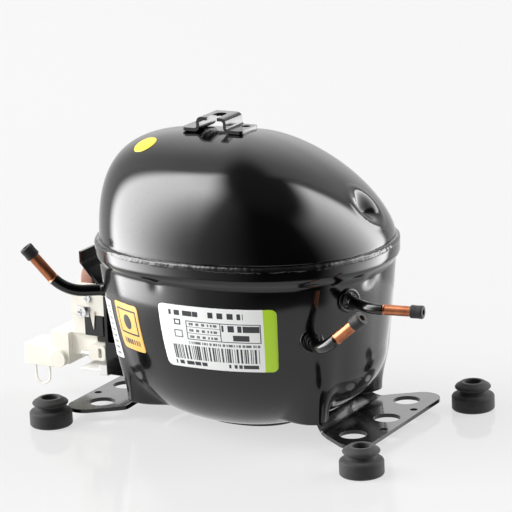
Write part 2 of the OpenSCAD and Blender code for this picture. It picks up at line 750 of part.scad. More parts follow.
main_r = 8;          // main journal
bore_in = 14;        // mouth of the cylinder, nearest the shaft
crown = 12;          // the piston's length beyond its pin
bore_out = shaft_x + crank_e + rod_l + crown + 0.8;  // end of the cylinder, at the valve plate
module crankcase() color([0.40, 0.40, 0.41])
    difference() {
        union() {
            translate([shaft_x - 40, -40, frame_z])
                cube([80, 80, deck_t]);
            translate([shaft_x, 0, 56])
                cylinder(r = 13, h = 30);
            translate([bore_in, -21, frame_z])
                cube([bore_out - bore_in, 42, cyl_z + 19 - frame_z]);
            for (p = bolt_spots)
                translate([p[0], p[1], stator_z1 + gap])
                    cylinder(r = 5, h = frame_z - stator_z1);
        }
        translate([shaft_x, 0, 50])
            cylinder(r = main_r + gap, h = 60);
        translate([bore_in - 1, 0, cyl_z])
            rotate([0, 90, 0])
                cylinder(d = bore_d + 2 * gap, h = bore_out - bore_in + 2);
        for (p = bolt_spots)
            translate([p[0], p[1], 60])
                cylinder(r = 2.5 + gap, h = 60);
        for (y = [-1, 1], z = [-1, 1])
            translate([bore_out - 12, 16.5 * y, cyl_z + 15 * z])
                rotate([0, 90, 0])
                    cylinder(r = 1.9, h = 20);
    }

plate_h = 36;
module valve_plate() color([0.62, 0.62, 0.64])
    translate([bore_out + gap, 0, cyl_z])
        rotate([0, 90, 0])
            difference() {
                translate([-18, -21, 0])
                    cube([plate_h, 42, 3]);
                for (y = [-5, 5])
                    translate([0, y, -1])
                        cylinder(r = 3, h = 6);
                for (y = [-1, 1], z = [-1, 1])
                    translate([15 * z, 16.5 * y, -1])
                        cylinder(r = 1.9, h = 6);
            }
module reed_outline() {
    translate([-9, 0])
        circle(r = 4);
    translate([-9, -2])
        square([9, 4]);
}
module suction_reed() color([0.70, 0.72, 0.76])
    translate([bore_out - 0.35, -5, cyl_z - 9])
        rotate([0, 90, 0])
            linear_extrude(0.3)
                reed_outline();
module discharge_reed() color([0.70, 0.72, 0.76])
    translate([bore_out + 3 + 2 * gap, 5, cyl_z - 9])
        rotate([0, 90, 0])
            linear_extrude(0.3)
                reed_outline();
head_x = bore_out + 3 + 2 * gap;
module cylinder_head() color([0.66, 0.67, 0.68])
    difference() {
        translate([head_x, -21, cyl_z - 18])
            cube([12, 42, plate_h]);
        for (y = [-11, 0.6])
            translate([head_x - 1, y, cyl_z - 12])
                cube([9, 10.4, 24]);
        for (y = [-1, 1], z = [-1, 1])
            translate([head_x - 1, 16.5 * y, cyl_z + 15 * z])
                rotate([0, 90, 0])
                    cylinder(r = 1.9, h = 20);
        translate([head_x + 6, 6, cyl_z + 10])
            cylinder(d = 4.2, h = 12);
    }
module head_bolts() color([0.50, 0.50, 0.52])
    for (y = [-1, 1], z = [-1, 1])
        translate([bore_out - 11, 16.5 * y, cyl_z + 15 * z])
            rotate([0, 90, 0])
                union() {
                    cylinder(r = 1.8, h = 26.15);
                    translate([0, 0, 26.15 + gap])
                        cylinder(r = 3.2, h = 2.6, $fn = 6);
                    translate([0, 0, 26])
                        cylinder(r = 1.8, h = 1);
                }
module suction_muffler() color([0.20, 0.21, 0.22])
    difference() {
        union() {
            translate([22, -46, 93])
                cube([34, 21, 27]);
            translate([49, -26, 99])
                cube([6, 4.9, 10]);
        }
        translate([24, -44, 95])
            cube([30, 17, 23]);
        translate([30, -35, 85])
            cylinder(d = 8, h = 20);
    }

// Bent pressure line from the head to the discharge port, free to flex
line_d = 4;
line_sides = 8;
line_route = [
    [53.9, 6, 116], [53.9, 6, 126], [56, 3, 131], [60, -5, 132], [65, -12, 126], [69, -17, 114],
    [71, -20, 100], [70, -21, 90], [70, -22.5, 84], [73, -25, 81], [77.6, -27.6, 81], [80.2, -29.1, 81]
];
function unit(v) = v / norm(v);
function sweep_ring(route, i, r, sides) =
    let (t = unit(route[min(i + 1, len(route) - 1)] - route[max(i - 1, 0)]),
         u = unit(cross(t, [0.3, 1, 0.2])), w = cross(t, u))
        [for (k = [0:sides - 1]) route[i] + r * (cos(360 * k / sides) * u + sin(360 * k / sides) * w)];
module inner_discharge_tube() color([0.75, 0.40, 0.26])
    loft([for (i = [0:len(line_route) - 1]) sweep_ring(line_route, i, line_d / 2, line_sides)]);
module lead_connector() color([0.85, 0.85, 0.80])
    difference() {
        at_terminal()
            translate([0, 0, -21])
                cylinder(r = 11, h = 9);
        at_terminal()
            for (a = [0, 120, 240])
                rotate([0, 0, a])
                    translate([pin_ring, 0, -15])
                        cylinder(r = 1.6 + gap, h = 6);
    }

// --- inside: moving train --------------------------------------------------------------

pin_r = 6;           // crank pin
pin_z = cyl_z;       // middle of the crank pin
crank_x = shaft_x + crank_e * cos(crank_rest);
crank_y = crank_e * sin(crank_rest);
rod_sway = asin(crank_y / rod_l);
sway_play = 0.75;    // the rod's swing is drawn this much short, to split its error
stroke_play = 0.21;  // the piston is drawn this much low, for the same reason
piston_x = crank_x + rod_l * cos(rod_sway) - stroke_play;
big_end_play = 0.75;  // clearance of the big end, because the linkage is opened here

module crankshaft() color([0.50, 0.50, 0.52]) {
    translate([shaft_x, 0, 26])
        cylinder(r = main_r, h = 66 + gap);
    translate([shaft_x, 0, frame_z + deck_t + gap])
        rotate([0, 0, crank_rest])
            linear_extrude(4)
                union() {
                    circle(r = 12);
                    translate([crank_e, 0])
                        circle(r = pin_r + 3);
                    intersection() {
                        circle(r = 23);
                        translate([-23, -20])
                            square([17, 40]);
                    }
                }
    translate([crank_x, crank_y, frame_z + deck_t + 4])
        cylinder(r = pin_r, h = 16);
}
module rotor() color([0.58, 0.58, 0.60])
    translate([shaft_x, 0, 34])
        difference() {
            union() {
                cylinder(r = 26.9, h = 20);
                difference() {
                    cylinder(r = 26.9, h = 36);
                    translate([0, 0, 19])
                        cylinder(r = 16, h = 20);
                }
            }
            translate([0, 0, -1])
                cylinder(r = main_r + 0.01, h = 40);
        }
module oil_pickup() color([0.60, 0.60, 0.62])
    translate([shaft_x, 0, 3])
        rotate_extrude()
            polygon([[1.5, 0], [3, 0], [6, 14], [6, 23 - gap], [4.8, 23 - gap], [4.8, 14.4]]);
module connecting_rod() color([0.62, 0.60, 0.56])
    translate([piston_x, 0, pin_z])
        rotate([0, 0, 180 - rod_sway + sway_play])
            translate([0, 0, -5])
                difference() {
                    union() {
                        cylinder(r = 6.6, h = 10);
                        translate([rod_l, 0, 0])
                            cylinder(r = 10, h = 10);
                        translate([4, -3, 1.5])
                            cube([rod_l - 8, 6, 7]);
                    }
                    translate([0, 0, -1])
                        cylinder(r = 4 + gap, h = 12);
                    translate([rod_l, 0, -1])
                        cylinder(r = pin_r + big_end_play, h = 12);
                }
module piston() color([0.55, 0.55, 0.57])
    difference() {
        translate([piston_x - 9, 0, pin_z])
            rotate([0, 90, 0])
                cylinder(d = bore_d, h = 9 + crown);
        translate([piston_x - 10, 0, pin_z])
            rotate([0, 90, 0])
                cylinder(d = bore_d - 6, h = 17.5);
        translate([piston_x, 0, pin_z - 20])
            cylinder(r = 4 + 0.01, h = 40);
    }
module wrist_pin() color([0.68, 0.68, 0.70])
    translate([piston_x, 0, pin_z - 11])
        cylinder(r = 4, h = 22);

upper_cover();
lower_housing();
weld_bead();
right_foot_plate();
left_foot_plate();
front_grommet();
right_grommet();
left_grommet();
rear_grommet();
top_tray_bracket();
suction_tube();
discharge_tube();
process_tube();
suction_collar();
discharge_collar();
process_collar();
suction_cap();
discharge_cap();
process_cap();
terminal_header();
terminal_glass();
terminal_pins();
terminal_bracket();
overload_protector();
protector_holder();
terminal_cover();
start_relay();
cord_connector();
wire_clip();
cable_clamp();
clamp_screw();
earth_screw();
lower_bracket();
rating_label();
caution_label();
side_label();
dot_sticker();
spring_seats();
spring_cups();
suspension_springs();
crankcase();
stator_core();
stator_windings();
stator_bolts();
lead_connector();
valve_plate();
suction_reed();
discharge_reed();
cylinder_head();
head_bolts();
suction_muffler();
inner_discharge_tube();
crankshaft();
rotor();
oil_pickup();
connecting_rod();
piston();
wrist_pin();
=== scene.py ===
"""Looks of the hermetic compressor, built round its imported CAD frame.

Lengths are in millimetres until mesh_object() and add_stage().
"""
import json
import math

import bmesh
import bpy
from mathutils import Matrix, Vector, noise


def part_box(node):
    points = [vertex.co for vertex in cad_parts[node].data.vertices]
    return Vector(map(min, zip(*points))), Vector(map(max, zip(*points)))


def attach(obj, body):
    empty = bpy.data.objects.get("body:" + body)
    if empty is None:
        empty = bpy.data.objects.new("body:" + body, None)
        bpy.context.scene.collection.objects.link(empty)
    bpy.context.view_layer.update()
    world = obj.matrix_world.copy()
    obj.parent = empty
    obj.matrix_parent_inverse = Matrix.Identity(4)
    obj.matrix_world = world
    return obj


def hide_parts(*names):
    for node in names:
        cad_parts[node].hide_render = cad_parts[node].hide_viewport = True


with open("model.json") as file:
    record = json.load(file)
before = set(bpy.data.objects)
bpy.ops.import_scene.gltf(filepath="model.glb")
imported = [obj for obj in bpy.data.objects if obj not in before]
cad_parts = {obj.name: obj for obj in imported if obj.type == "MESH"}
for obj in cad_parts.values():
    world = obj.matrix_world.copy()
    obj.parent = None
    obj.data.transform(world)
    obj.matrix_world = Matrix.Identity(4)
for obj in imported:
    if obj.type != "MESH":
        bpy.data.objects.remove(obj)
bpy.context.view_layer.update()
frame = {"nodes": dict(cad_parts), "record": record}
MM = 0.001


def box_mm(node):
    """Lowest and highest corner of a CAD node, in millimetres."""
    low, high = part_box(node)
    return low / MM, high / MM


# --- shape of the shell, as in the CAD model --------------------------

COVER = box_mm("upper_cover")
HOUSING = box_mm("lower_housing")
SHEET = 3.0                  # thickness of both pressings
SEAM_A = COVER[1].x          # half length at the seam
SEAM_B = COVER[1].y          # half width at the seam
PLAN_N = 2.25                # power of the oval plan
LIP_Z = COVER[0].z           # lower edge of the cover
LIP_H = 8.4                  # the cover's straight lip
SEAM_Z = LIP_Z + LIP_H
RIM_Z = HOUSING[1].z         # upper edge of the housing
RIM_OUT = HOUSING[1].x - SEAM_A
GAP = 0.05                   # between the two pressings
BELLY = -HOUSING[0].z        # how far the bowl hangs below the foot plates
DOME_H = 62.0
DOME_CX = 3.4                # the top of the dome, along X
DOME_NEG, DOME_POS, DOME_SIDE = 3.68, 1.46, 1.85     # powers of its outline towards -X, +X and sideways
NECK_Z, BOWL_Z = 92.0, 40.0  # the wall tapers between these heights, and rounds in below the second
BOWL_SCALE = 0.909           # length at BOWL_Z, as a share of the seam's
BOWL_N = 2.17                # power of the bowl's end outline
BOWL_SHIFT = 1.6             # the bowl's middle, along X
BOWL_FLAT = 0.34             # the flat bottom's share of the seam
SIDE_IN, SIDE_OUT = 2.2, 3.15                        # powers of the bowl's side outline
LOBE_X, LOBE_Y = 57.0, 34.0  # direction of the four foot lobes
LOBE_R, LOBE_HALF = 76.0, 17.0                       # their reach, and half their angle in degrees
LOBE_Z, LOBE_BLEND = 6.3, 14.0                       # their underside, and how sharply they leave the wall


def turn(count):
    """Angles of a full turn, in radians."""
    return [2 * math.pi * i / count for i in range(count)]


def smooth(a, b, x):
    """0 below a and 1 above b, with a smooth step between."""
    u = max(0.0, min(1.0, (x - a) / (b - a)))
    return u * u * (3 - 2 * u)


def superellipse(h, p):
    return max(0.0, 1 - h**p) ** (1 / p)


def oval(t, a, b):
    """Distance from the axis to an oval of half axes a and b, in the direction t (radians)."""
    return ((abs(math.cos(t)) / a) ** PLAN_N + (abs(math.sin(t)) / b) ** PLAN_N) ** (-1 / PLAN_N)


def rim_point(t, extra, z):
    r = oval(t, SEAM_A + extra, SEAM_B + extra)
    return Vector((r * math.cos(t), r * math.sin(t), z))


def dome_point(t, h, inset=0.0):
    """Point of the dome in the direction t, at the share h of its height."""
    a = SEAM_A + DOME_CX if math.cos(t) < 0 else SEAM_A - DOME_CX
    p = DOME_NEG if math.cos(t) < 0 else DOME_POS
    r = oval(t, (a - inset) * superellipse(h, p) + 1e-3, (SEAM_B - inset) * superellipse(h, DOME_SIDE) + 1e-3)
    return Vector((DOME_CX + r * math.cos(t), r * math.sin(t), SEAM_Z + (DOME_H - inset) * h))


def wall_scale(z):
    if z > BOWL_Z:
        return BOWL_SCALE + (1 - BOWL_SCALE) * (z - BOWL_Z) / (NECK_Z - BOWL_Z)
    return max(BOWL_FLAT, BOWL_SCALE * superellipse((BOWL_Z - z) / (BOWL_Z + BELLY), BOWL_N))


def side_scale(z):
    depth = max(0.0, NECK_Z - z) / (NECK_Z + BELLY)
    return max(BOWL_FLAT, max(0.0, 1 - depth**SIDE_IN) ** (1 / SIDE_OUT))


def wall_shift(z):
    return BOWL_SHIFT * min(1, (NECK_Z - z) / (NECK_Z - BOWL_Z))


def lobe_reach(t):
    deg = math.degrees(t)
    corner = math.degrees(math.atan2(LOBE_Y, LOBE_X))
    off = min(abs((deg - e - s * corner + 540) % 360 - 180) for s in (-1, 1) for e in (0, 180))
    return LOBE_R * math.sqrt(1 - (off / LOBE_HALF) ** 2) if off < LOBE_HALF else 0.0


def wall_point(t, z, inset=0.0, lobes=True):
    r = oval(t, SEAM_A * wall_scale(z) - inset, SEAM_B * side_scale(z) - inset)
    if lobes:
        r *= (1 + (lobe_reach(t) / r) ** LOBE_BLEND) ** (1 / LOBE_BLEND)
    return Vector((wall_shift(z) + r * math.cos(t), r * math.sin(t), z))


# --- mesh helpers -----------------------------------------------------


def mesh_object(name, verts, faces, materials, body="shell", replaces=(), smooth=True, uvs=None):
    """A mesh given in millimetres, as a piece that rides on a body."""
    mesh = bpy.data.meshes.new(name)
    mesh.from_pydata([Vector(v) * MM for v in verts], [], faces)
    mesh.update()
    if uvs is not None:
        layer = mesh.uv_layers.new(name="print")
        for loop in mesh.loops:
            layer.data[loop.index].uv = uvs[loop.vertex_index]
    for m in materials:
        mesh.materials.append(m)
    obj = bpy.data.objects.new(name, mesh)
    bpy.context.collection.objects.link(obj)
    mesh.polygons.foreach_set("use_smooth", [smooth] * len(mesh.polygons))
    bm = bmesh.new()
    bm.from_mesh(mesh)
    bmesh.ops.recalc_face_normals(bm, faces=bm.faces)
    bm.to_mesh(mesh)
    bm.free()
    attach(obj, body)
    if replaces:
        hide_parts(*replaces)
    return obj


def bridge(a, b, count, closed=True):
    """Faces between two rings of points, given the index of each ring's first point."""
    steps = count if closed else count - 1
    return [(a + i, a + (i + 1) % count, b + (i + 1) % count, b + i) for i in range(steps)]


def ring_faces(rings, count, closed=True):
    """Faces of a stack of rings."""
    return [face for k in range(rings - 1) for face in bridge(k * count, (k + 1) * count, count, closed)]


def hoop_faces(around, across):
    """Faces of a hoop, whose sections have so many points across."""
    faces = []
    for i in range(around):
        a, b = i * across, (i + 1) % around * across
        for k in range(across):
            m = (k + 1) % across
            faces.append((a + k, b + k, b + m, a + m))
    return faces


def lathe(profile, count=72, place=Matrix.Identity(4), wobble=None):
    """Points and faces of a closed profile of (radius, height) pairs, turned about Z."""
    verts = []
    for t in turn(count):
        for r, z in profile:
            p = Vector((r * math.cos(t), r * math.sin(t), z))
            if wobble:
                p = wobble(p, t)
            verts.append(place @ p)
    return verts, hoop_faces(count, len(profile))


def rounded(profile, radius=0.4, steps=3):
    """The profile with a short curve at each corner, cut back by at most a third of its shorter side."""
    out, n = [], len(profile)
    for i, p in enumerate(profile):
        p = Vector(p)
        a, b = Vector(profile[i - 1]) - p, Vector(profile[(i + 1) % n]) - p
        cut = min(radius, a.length / 3, b.length / 3)
        start, end = p + a.normalized() * cut, p + b.normalized() * cut
        for k in range(steps + 1):
            u = k / steps
            out.append(start * (1 - u) ** 2 + p * 2 * u * (1 - u) + end * u**2)
    return out


def finish_edges(obj, width, angle=35, segments=2):
    mod = obj.modifiers.new("edge", "BEVEL")
    mod.width = width * MM
    mod.segments = segments
    mod.limit_method = "ANGLE"
    mod.angle_limit = math.radians(angle)
    mod.harden_normals = False


# --- materials --------------------------------------------------------


class Nodes:
    """A short way to write a node tree: add() makes a node, links the sockets given and sets the values."""

    def __init__(self, name):
        self.material = bpy.data.materials.new(name)
        self.material.use_nodes = True
        self.tree = self.material.node_tree
        self.shader = self.tree.nodes["Principled BSDF"]

    def put(self, node, key, value):
        if isinstance(value, bpy.types.NodeSocket):
            self.tree.links.new(value, node.inputs[key])
        else:
            node.inputs[key].default_value = value

    def add(self, kind, inputs=None, **settings):
        node = self.tree.nodes.new(kind)
        for key, value in settings.items():
            setattr(node, key, value)
        for key, value in (inputs or {}).items():
            self.put(node, key, value)
        return node

    def set(self, **values):
        for key, value in values.items():
            self.put(self.shader, key.replace("_", " "), value)

    def place(self):
        return self.add("ShaderNodeTexCoord").outputs["Object"]

    def noise(self, scale, detail=3.0, rough=0.55, vector=None):
        inputs = {"Vector": vector or self.place(), "Scale": scale, "Detail": detail, "Roughness": rough}
        return self.add("ShaderNodeTexNoise", inputs).outputs["Fac"]

    def ramp(self, fac, low, high, a=(0, 0, 0, 1), b=(1, 1, 1, 1)):
        node = self.add("ShaderNodeValToRGB", {"Fac": fac})
        node.color_ramp.elements[0].position, node.color_ramp.elements[1].position = low, high
        node.color_ramp.elements[0].color, node.color_ramp.elements[1].color = a, b
        return node.outputs["Color"]

    def math(self, operation, a, b=0.0):
        return self.add("ShaderNodeMath", {0: a, 1: b}, operation=operation).outputs[0]

    def mix(self, fac, a, b):
        node = self.add("ShaderNodeMix", data_type="RGBA")
        for index, value in ((0, fac), (6, a), (7, b)):
            self.put(node, index, value)
        return node.outputs[2]

    def remap(self, value, low, high):
        return self.add("ShaderNodeMapRange", {0: value, 3: low, 4: high}).outputs[0]

    def bump(self, height, strength, distance=0.1):
        inputs = {"Height": height, "Strength": strength, "Distance": distance * MM}
        if self.shader.inputs["Normal"].links:
            inputs["Normal"] = self.shader.inputs["Normal"].links[0].from_socket
        self.set(Normal=self.add("ShaderNodeBump", inputs).outputs["Normal"])


def rgb(r, g, b, a=1.0):
    return (r, g, b, a)


def paint(name, base, dust, rough, peel, coat=1.0):
    """Baked paint: orange peel, a little dust, and gloss that varies."""
    n = Nodes(name)
    cloud = n.noise(28, 4)
    speck = n.ramp(n.noise(1400, 2), 0.66, 0.72)
    film = n.math("MULTIPLY", n.ramp(cloud, 0.45, 0.8), 0.06)
    colour = n.mix(film, base, dust)
    n.set(Base_Color=n.mix(n.math("MULTIPLY", speck, 0.12), colour, dust))
    n.set(Roughness=n.remap(n.noise(60, 4), rough * 0.8, rough * 1.35), Coat_Weight=coat, Coat_IOR=1.5)
    n.set(Coat_Roughness=n.remap(n.noise(45, 4), 0.05, 0.14), Specular_IOR_Level=0.1)
    n.bump(n.noise(420, 2), peel, 0.05)
    n.bump(n.noise(75, 2), peel * 0.5, 0.2)
    return n.material


def rubber(name, base, dust, rough=0.72):
    """Moulded rubber with chalky patches."""
    n = Nodes(name)
    chalk = n.ramp(n.noise(180, 6, 0.7), 0.48, 0.75)
    n.set(Base_Color=n.mix(n.math("MULTIPLY", chalk, 0.5), base, dust))
    n.set(Roughness=n.remap(n.noise(300, 4), rough - 0.1, rough + 0.12), Sheen_Weight=0.15)
    n.bump(n.noise(2200, 3), 0.5, 0.06)
    n.bump(n.noise(260, 3), 0.35, 0.12)
    return n.material


def copper(name):
    """Drawn copper, bright in patches and brown in others."""
    n = Nodes(name)
    streak = n.add("ShaderNodeMapping", {"Vector": n.place(), "Scale": (1, 1, 0.35)}).outputs[0]
    dull = n.ramp(n.noise(140, 5, 0.65, streak), 0.35, 0.72)
    bright = rgb(0.62, 0.24, 0.12)
    brown = rgb(0.36, 0.12, 0.055)
    n.set(Base_Color=n.mix(dull, bright, brown), Metallic=1.0)
    n.set(Roughness=n.remap(n.noise(320, 4), 0.22, 0.42))
    n.bump(n.noise(900, 3, 0.6, streak), 0.25, 0.05)
    return n.material


def metal(name, base, stain, rough, grain=600, stretch=(1, 1, 1), strength=0.2, metallic=1.0):
    """Bare metal with stains, and a grain that stretch can draw out."""
    n = Nodes(name)
    along = n.add("ShaderNodeMapping", {"Vector": n.place(), "Scale": stretch}).outputs[0]
    patch = n.ramp(n.noise(90, 5, 0.6), 0.4, 0.75)
    n.set(Base_Color=n.mix(n.math("MULTIPLY", patch, 0.6), base, stain), Metallic=metallic)
    n.set(Roughness=n.remap(n.noise(grain, 3, 0.6, along), rough - 0.08, rough + 0.14))
    n.bump(n.noise(grain * 1.6, 3, 0.6, along), strength, 0.06)
    return n.material


def plastic(name, base, shade, rough=0.42, texture=0.2):
    """Moulded plastic, a little uneven in tint."""
    n = Nodes(name)
    tint = n.ramp(n.noise(70, 4), 0.35, 0.75)
    n.set(Base_Color=n.mix(n.math("MULTIPLY", tint, 0.55), base, shade), Subsurface_Weight=0.05)
    n.set(Subsurface_Scale=0.001, Roughness=n.remap(n.noise(500, 3), rough - 0.07, rough + 0.1))
    n.bump(n.noise(1600, 2), texture, 0.04)
    n.bump(n.noise(120, 2), texture * 0.6, 0.12)
    return n.material


def weld_metal(name):
    """Weld beads under gloss paint, with flecks where spatter has stayed bare."""
    n = Nodes(name)
    fleck = n.ramp(n.noise(520, 5, 0.7), 0.70, 0.74)
    n.set(Base_Color=n.mix(fleck, rgb(0.004, 0.004, 0.004), rgb(0.42, 0.40, 0.38)), Metallic=fleck)
    n.set(Roughness=n.remap(n.noise(500, 4), 0.18, 0.42), Coat_Weight=1.0, Coat_Roughness=0.12, Coat_IOR=1.5)
    n.set(Specular_IOR_Level=0.15)
    n.bump(n.noise(170, 5, 0.7), 0.8, 0.5)
    return n.material


class Print(Nodes):
    """A printed label: marks are laid over the paper by rectangles of its own print coordinates, 0 to 1."""

    def __init__(self, name, paper, gloss=0.32):
        super().__init__(name)
        self.uv = self.add("ShaderNodeUVMap", uv_map="print").outputs[0]
        split = self.add("ShaderNodeSeparateXYZ", {0: self.uv})
        self.u, self.v = split.outputs[0], split.outputs[1]
        fibre = self.ramp(self.noise(900, 3), 0.3, 0.8)
        self.colour = self.mix(self.math("MULTIPLY", fibre, 0.12), paper, rgb(*(c * 0.8 for c in paper[:3])))
        self.gloss = gloss

    def inside(self, u0, u1, v0, v1):
        edges = [
            self.math("GREATER_THAN", self.u, u0), self.math("LESS_THAN", self.u, u1),
            self.math("GREATER_THAN", self.v, v0), self.math("LESS_THAN", self.v, v1),
        ]
        mask = edges[0]
        for e in edges[1:]:
            mask = self.math("MULTIPLY", mask, e)
        return mask

    def mark(self, mask, ink):
        self.colour = self.mix(mask, self.colour, ink)

    def block(self, u0, u1, v0, v1, ink):
        self.mark(self.inside(u0, u1, v0, v1), ink)

    def frame(self, u0, u1, v0, v1, width, ink, aspect=1.6):
        outer = self.inside(u0, u1, v0, v1)
        inner = self.inside(u0 + width, u1 - width, v0 + width * aspect, v1 - width * aspect)
        self.mark(self.math("SUBTRACT", outer, inner), ink)

    def stripes(self, u0, u1, v0, v1, count, ink, share=0.5):
        """Upright stripes of uneven width, which read as a stripe code or as a row of print."""
        inputs = {"Scale": count, "Detail": 0.0, "W": self.u}
        cells = self.add("ShaderNodeTexNoise", inputs, noise_dimensions="1D")
        mask = self.math("GREATER_THAN", cells.outputs["Fac"], share)
        self.mark(self.math("MULTIPLY", mask, self.inside(u0, u1, v0, v1)), ink)

    def done(self):
        self.set(Base_Color=self.colour, Roughness=self.gloss, Coat_Weight=0.25, Coat_Roughness=0.2)
        self.bump(self.noise(500, 2), 0.05, 0.05)
        return self.material


INK = rgb(0.025, 0.025, 0.03)
GREY_INK = rgb(0.12, 0.12, 0.13)
PAPER = rgb(0.80, 0.81, 0.80)


def rating_print():
    """White rating label with generic blocks, a table, a stripe code and a green edge."""
    p = Print("rating_print", PAPER)
    p.stripes(0.09, 0.37, 0.84, 0.92, 26, INK, 0.42)
    p.stripes(0.46, 0.75, 0.84, 0.93, 24, INK, 0.42)
    p.frame(0.25, 0.88, 0.47, 0.77, 0.008, INK)
    p.block(0.555, 0.563, 0.47, 0.77, INK)
    for line in (0.57, 0.67):
        p.block(0.25, 0.555, line, line + 0.008, INK)
    for row in (0.52, 0.62, 0.72):
        p.stripes(0.27, 0.53, row - 0.02, row + 0.02, 38, GREY_INK, 0.46)
    p.stripes(0.57, 0.87, 0.64, 0.74, 24, INK, 0.40)
    p.stripes(0.66, 0.79, 0.50, 0.59, 11, INK, 0.40)
    p.frame(0.14, 0.20, 0.69, 0.78, 0.012, INK)
    p.frame(0.13, 0.21, 0.49, 0.61, 0.010, GREY_INK)
    p.stripes(0.26, 0.88, 0.40, 0.44, 60, GREY_INK, 0.45)
    p.stripes(0.09, 0.86, 0.14, 0.37, 62, INK, 0.5)
    p.stripes(0.09, 0.40, 0.05, 0.11, 30, INK, 0.43)
    p.stripes(0.60, 0.86, 0.05, 0.11, 26, INK, 0.43)
    p.block(0.90, 1.0, 0.0, 1.0, rgb(0.42, 0.66, 0.015))
    return p.done()


def caution_print():
    """Orange label with a plain frame, a disc and a bar."""
    p = Print("caution_print", rgb(0.84, 0.47, 0.12))
    p.frame(0.10, 0.90, 0.34, 0.88, 0.05, INK, 0.8)
    middle, radius = (0.5, 0.61, 0.0), 0.16
    away = p.add("ShaderNodeVectorMath", {0: p.uv, 1: middle}, operation="DISTANCE").outputs["Value"]
    p.mark(p.math("LESS_THAN", away, radius), INK)
    p.stripes(0.14, 0.86, 0.12, 0.24, 22, INK, 0.45)
    return p.done()


def strip_print():
    """White strip with nine short rows of print."""
    p = Print("strip_print", PAPER)
    for row in range(9):
        p.stripes(0.2, 0.8, 0.06 + row * 0.1, 0.10 + row * 0.1, 12, GREY_INK, 0.42)
    return p.done()


def dot_print():
    """Plain yellow."""
    return Print("dot_print", rgb(0.68, 0.51, 0.03)).done()


GLOSS_BLACK = paint("gloss_black", rgb(0.001, 0.001, 0.0011), rgb(0.013, 0.013, 0.0135), 0.24, 0.10)
BRACKET_BLACK = paint("bracket_black", rgb(0.002, 0.002, 0.0022), rgb(0.018, 0.018, 0.019), 0.26, 0.20)
WELD = weld_metal("weld_metal")
GROMMET_RUBBER = rubber("grommet_rubber", rgb(0.009, 0.009, 0.009), rgb(0.032, 0.032, 0.032))
CAP_RUBBER = rubber("cap_rubber", rgb(0.007, 0.007, 0.007), rgb(0.024, 0.024, 0.024), 0.6)
COPPER = copper("bare_copper")
ZINC = metal("zinc", rgb(0.68, 0.68, 0.68), rgb(0.42, 0.42, 0.43), 0.28)
STEEL = metal("machined_steel", rgb(0.52, 0.52, 0.54), rgb(0.32, 0.31, 0.30), 0.32, 800, (1, 1, 6))
SPRING = metal("spring_steel", rgb(0.40, 0.41, 0.43), rgb(0.20, 0.20, 0.21), 0.36)
LAMINATION = metal("lamination", rgb(0.36, 0.36, 0.38), rgb(0.20, 0.20, 0.22), 0.42, 900, (0.1, 0.1, 6), 0.6)
CAST = metal("cast_iron", rgb(0.23, 0.23, 0.24), rgb(0.12, 0.12, 0.12), 0.55, 700, strength=0.6, metallic=0.8)
DIE_CAST = metal("die_cast", rgb(0.60, 0.61, 0.62), rgb(0.40, 0.40, 0.41), 0.40, 500, strength=0.35)
REED = metal("reed_steel", rgb(0.42, 0.48, 0.60), rgb(0.28, 0.30, 0.36), 0.22)
SINTERED = metal("sintered", rgb(0.42, 0.40, 0.37), rgb(0.26, 0.25, 0.23), 0.5, 1500, strength=0.5)
WINDING = metal("winding", rgb(0.62, 0.25, 0.09), rgb(0.30, 0.10, 0.04), 0.30, 1200, (1, 1, 8), 0.8, 0.7)
CREAM = plastic("cream_plastic", rgb(0.80, 0.78, 0.70), rgb(0.70, 0.66, 0.56))
NATURAL = plastic("natural_plastic", rgb(0.84, 0.81, 0.72), rgb(0.74, 0.69, 0.58))
BLACK_PLASTIC = plastic("black_plastic", rgb(0.006, 0.006, 0.0065), rgb(0.015, 0.015, 0.015), 0.34)
MUFFLER_PLASTIC = plastic("muffler_plastic", rgb(0.05, 0.055, 0.06), rgb(0.09, 0.09, 0.09), 0.5)
PHENOLIC = plastic("phenolic", rgb(0.29, 0.13, 0.09), rgb(0.22, 0.09, 0.06), 0.5)
WHITE_SHEET = paint("white_sheet", rgb(0.74, 0.74, 0.72), rgb(0.55, 0.55, 0.53), 0.35, 0.15, 0.3)
SEAL_GLASS = plastic("seal_glass", rgb(0.22, 0.30, 0.26), rgb(0.14, 0.20, 0.17), 0.15, 0.05)

SLOT_MATERIALS = {
    "black_paint": GLOSS_BLACK, "bracket_paint": BRACKET_BLACK, "weld": WELD, "rubber": GROMMET_RUBBER,
    "cap_rubber": CAP_RUBBER, "copper": COPPER, "zinc": ZINC, "header_steel": BRACKET_BLACK,
    "seal_glass": SEAL_GLASS, "pin_metal": STEEL, "protector": PHENOLIC, "cream_plastic": CREAM,
    "black_plastic": BLACK_PLASTIC, "white_metal": WHITE_SHEET, "white_label": rating_print(),
    "orange_label": caution_print(), "yellow_sticker": dot_print(), "steel": STEEL,
    "spring_steel": SPRING, "lamination": LAMINATION, "winding": WINDING, "cast_iron": CAST,
    "die_cast": DIE_CAST, "reed_steel": REED, "natural_plastic": NATURAL,
    "muffler_plastic": MUFFLER_PLASTIC, "sintered": SINTERED,
}
STRIP_PRINT = strip_print()


def dress_cad_nodes():
    """Every CAD node gets the material of its slot."""
    slots = {s["node"]: s["material_slot"] for s in frame["record"]["subparts"]}
    for name, obj in frame["nodes"].items():
        material = SLOT_MATERIALS[slots[name]]
        if not obj.material_slots:
            obj.data.materials.append(material)
        for s in obj.material_slots:
            s.material = material


KEPT_NODES = (
    "terminal_bracket", "protector_holder", "terminal_cover", "start_relay", "cord_connector",
    "overload_protector", "lower_bracket", "cable_clamp",
)


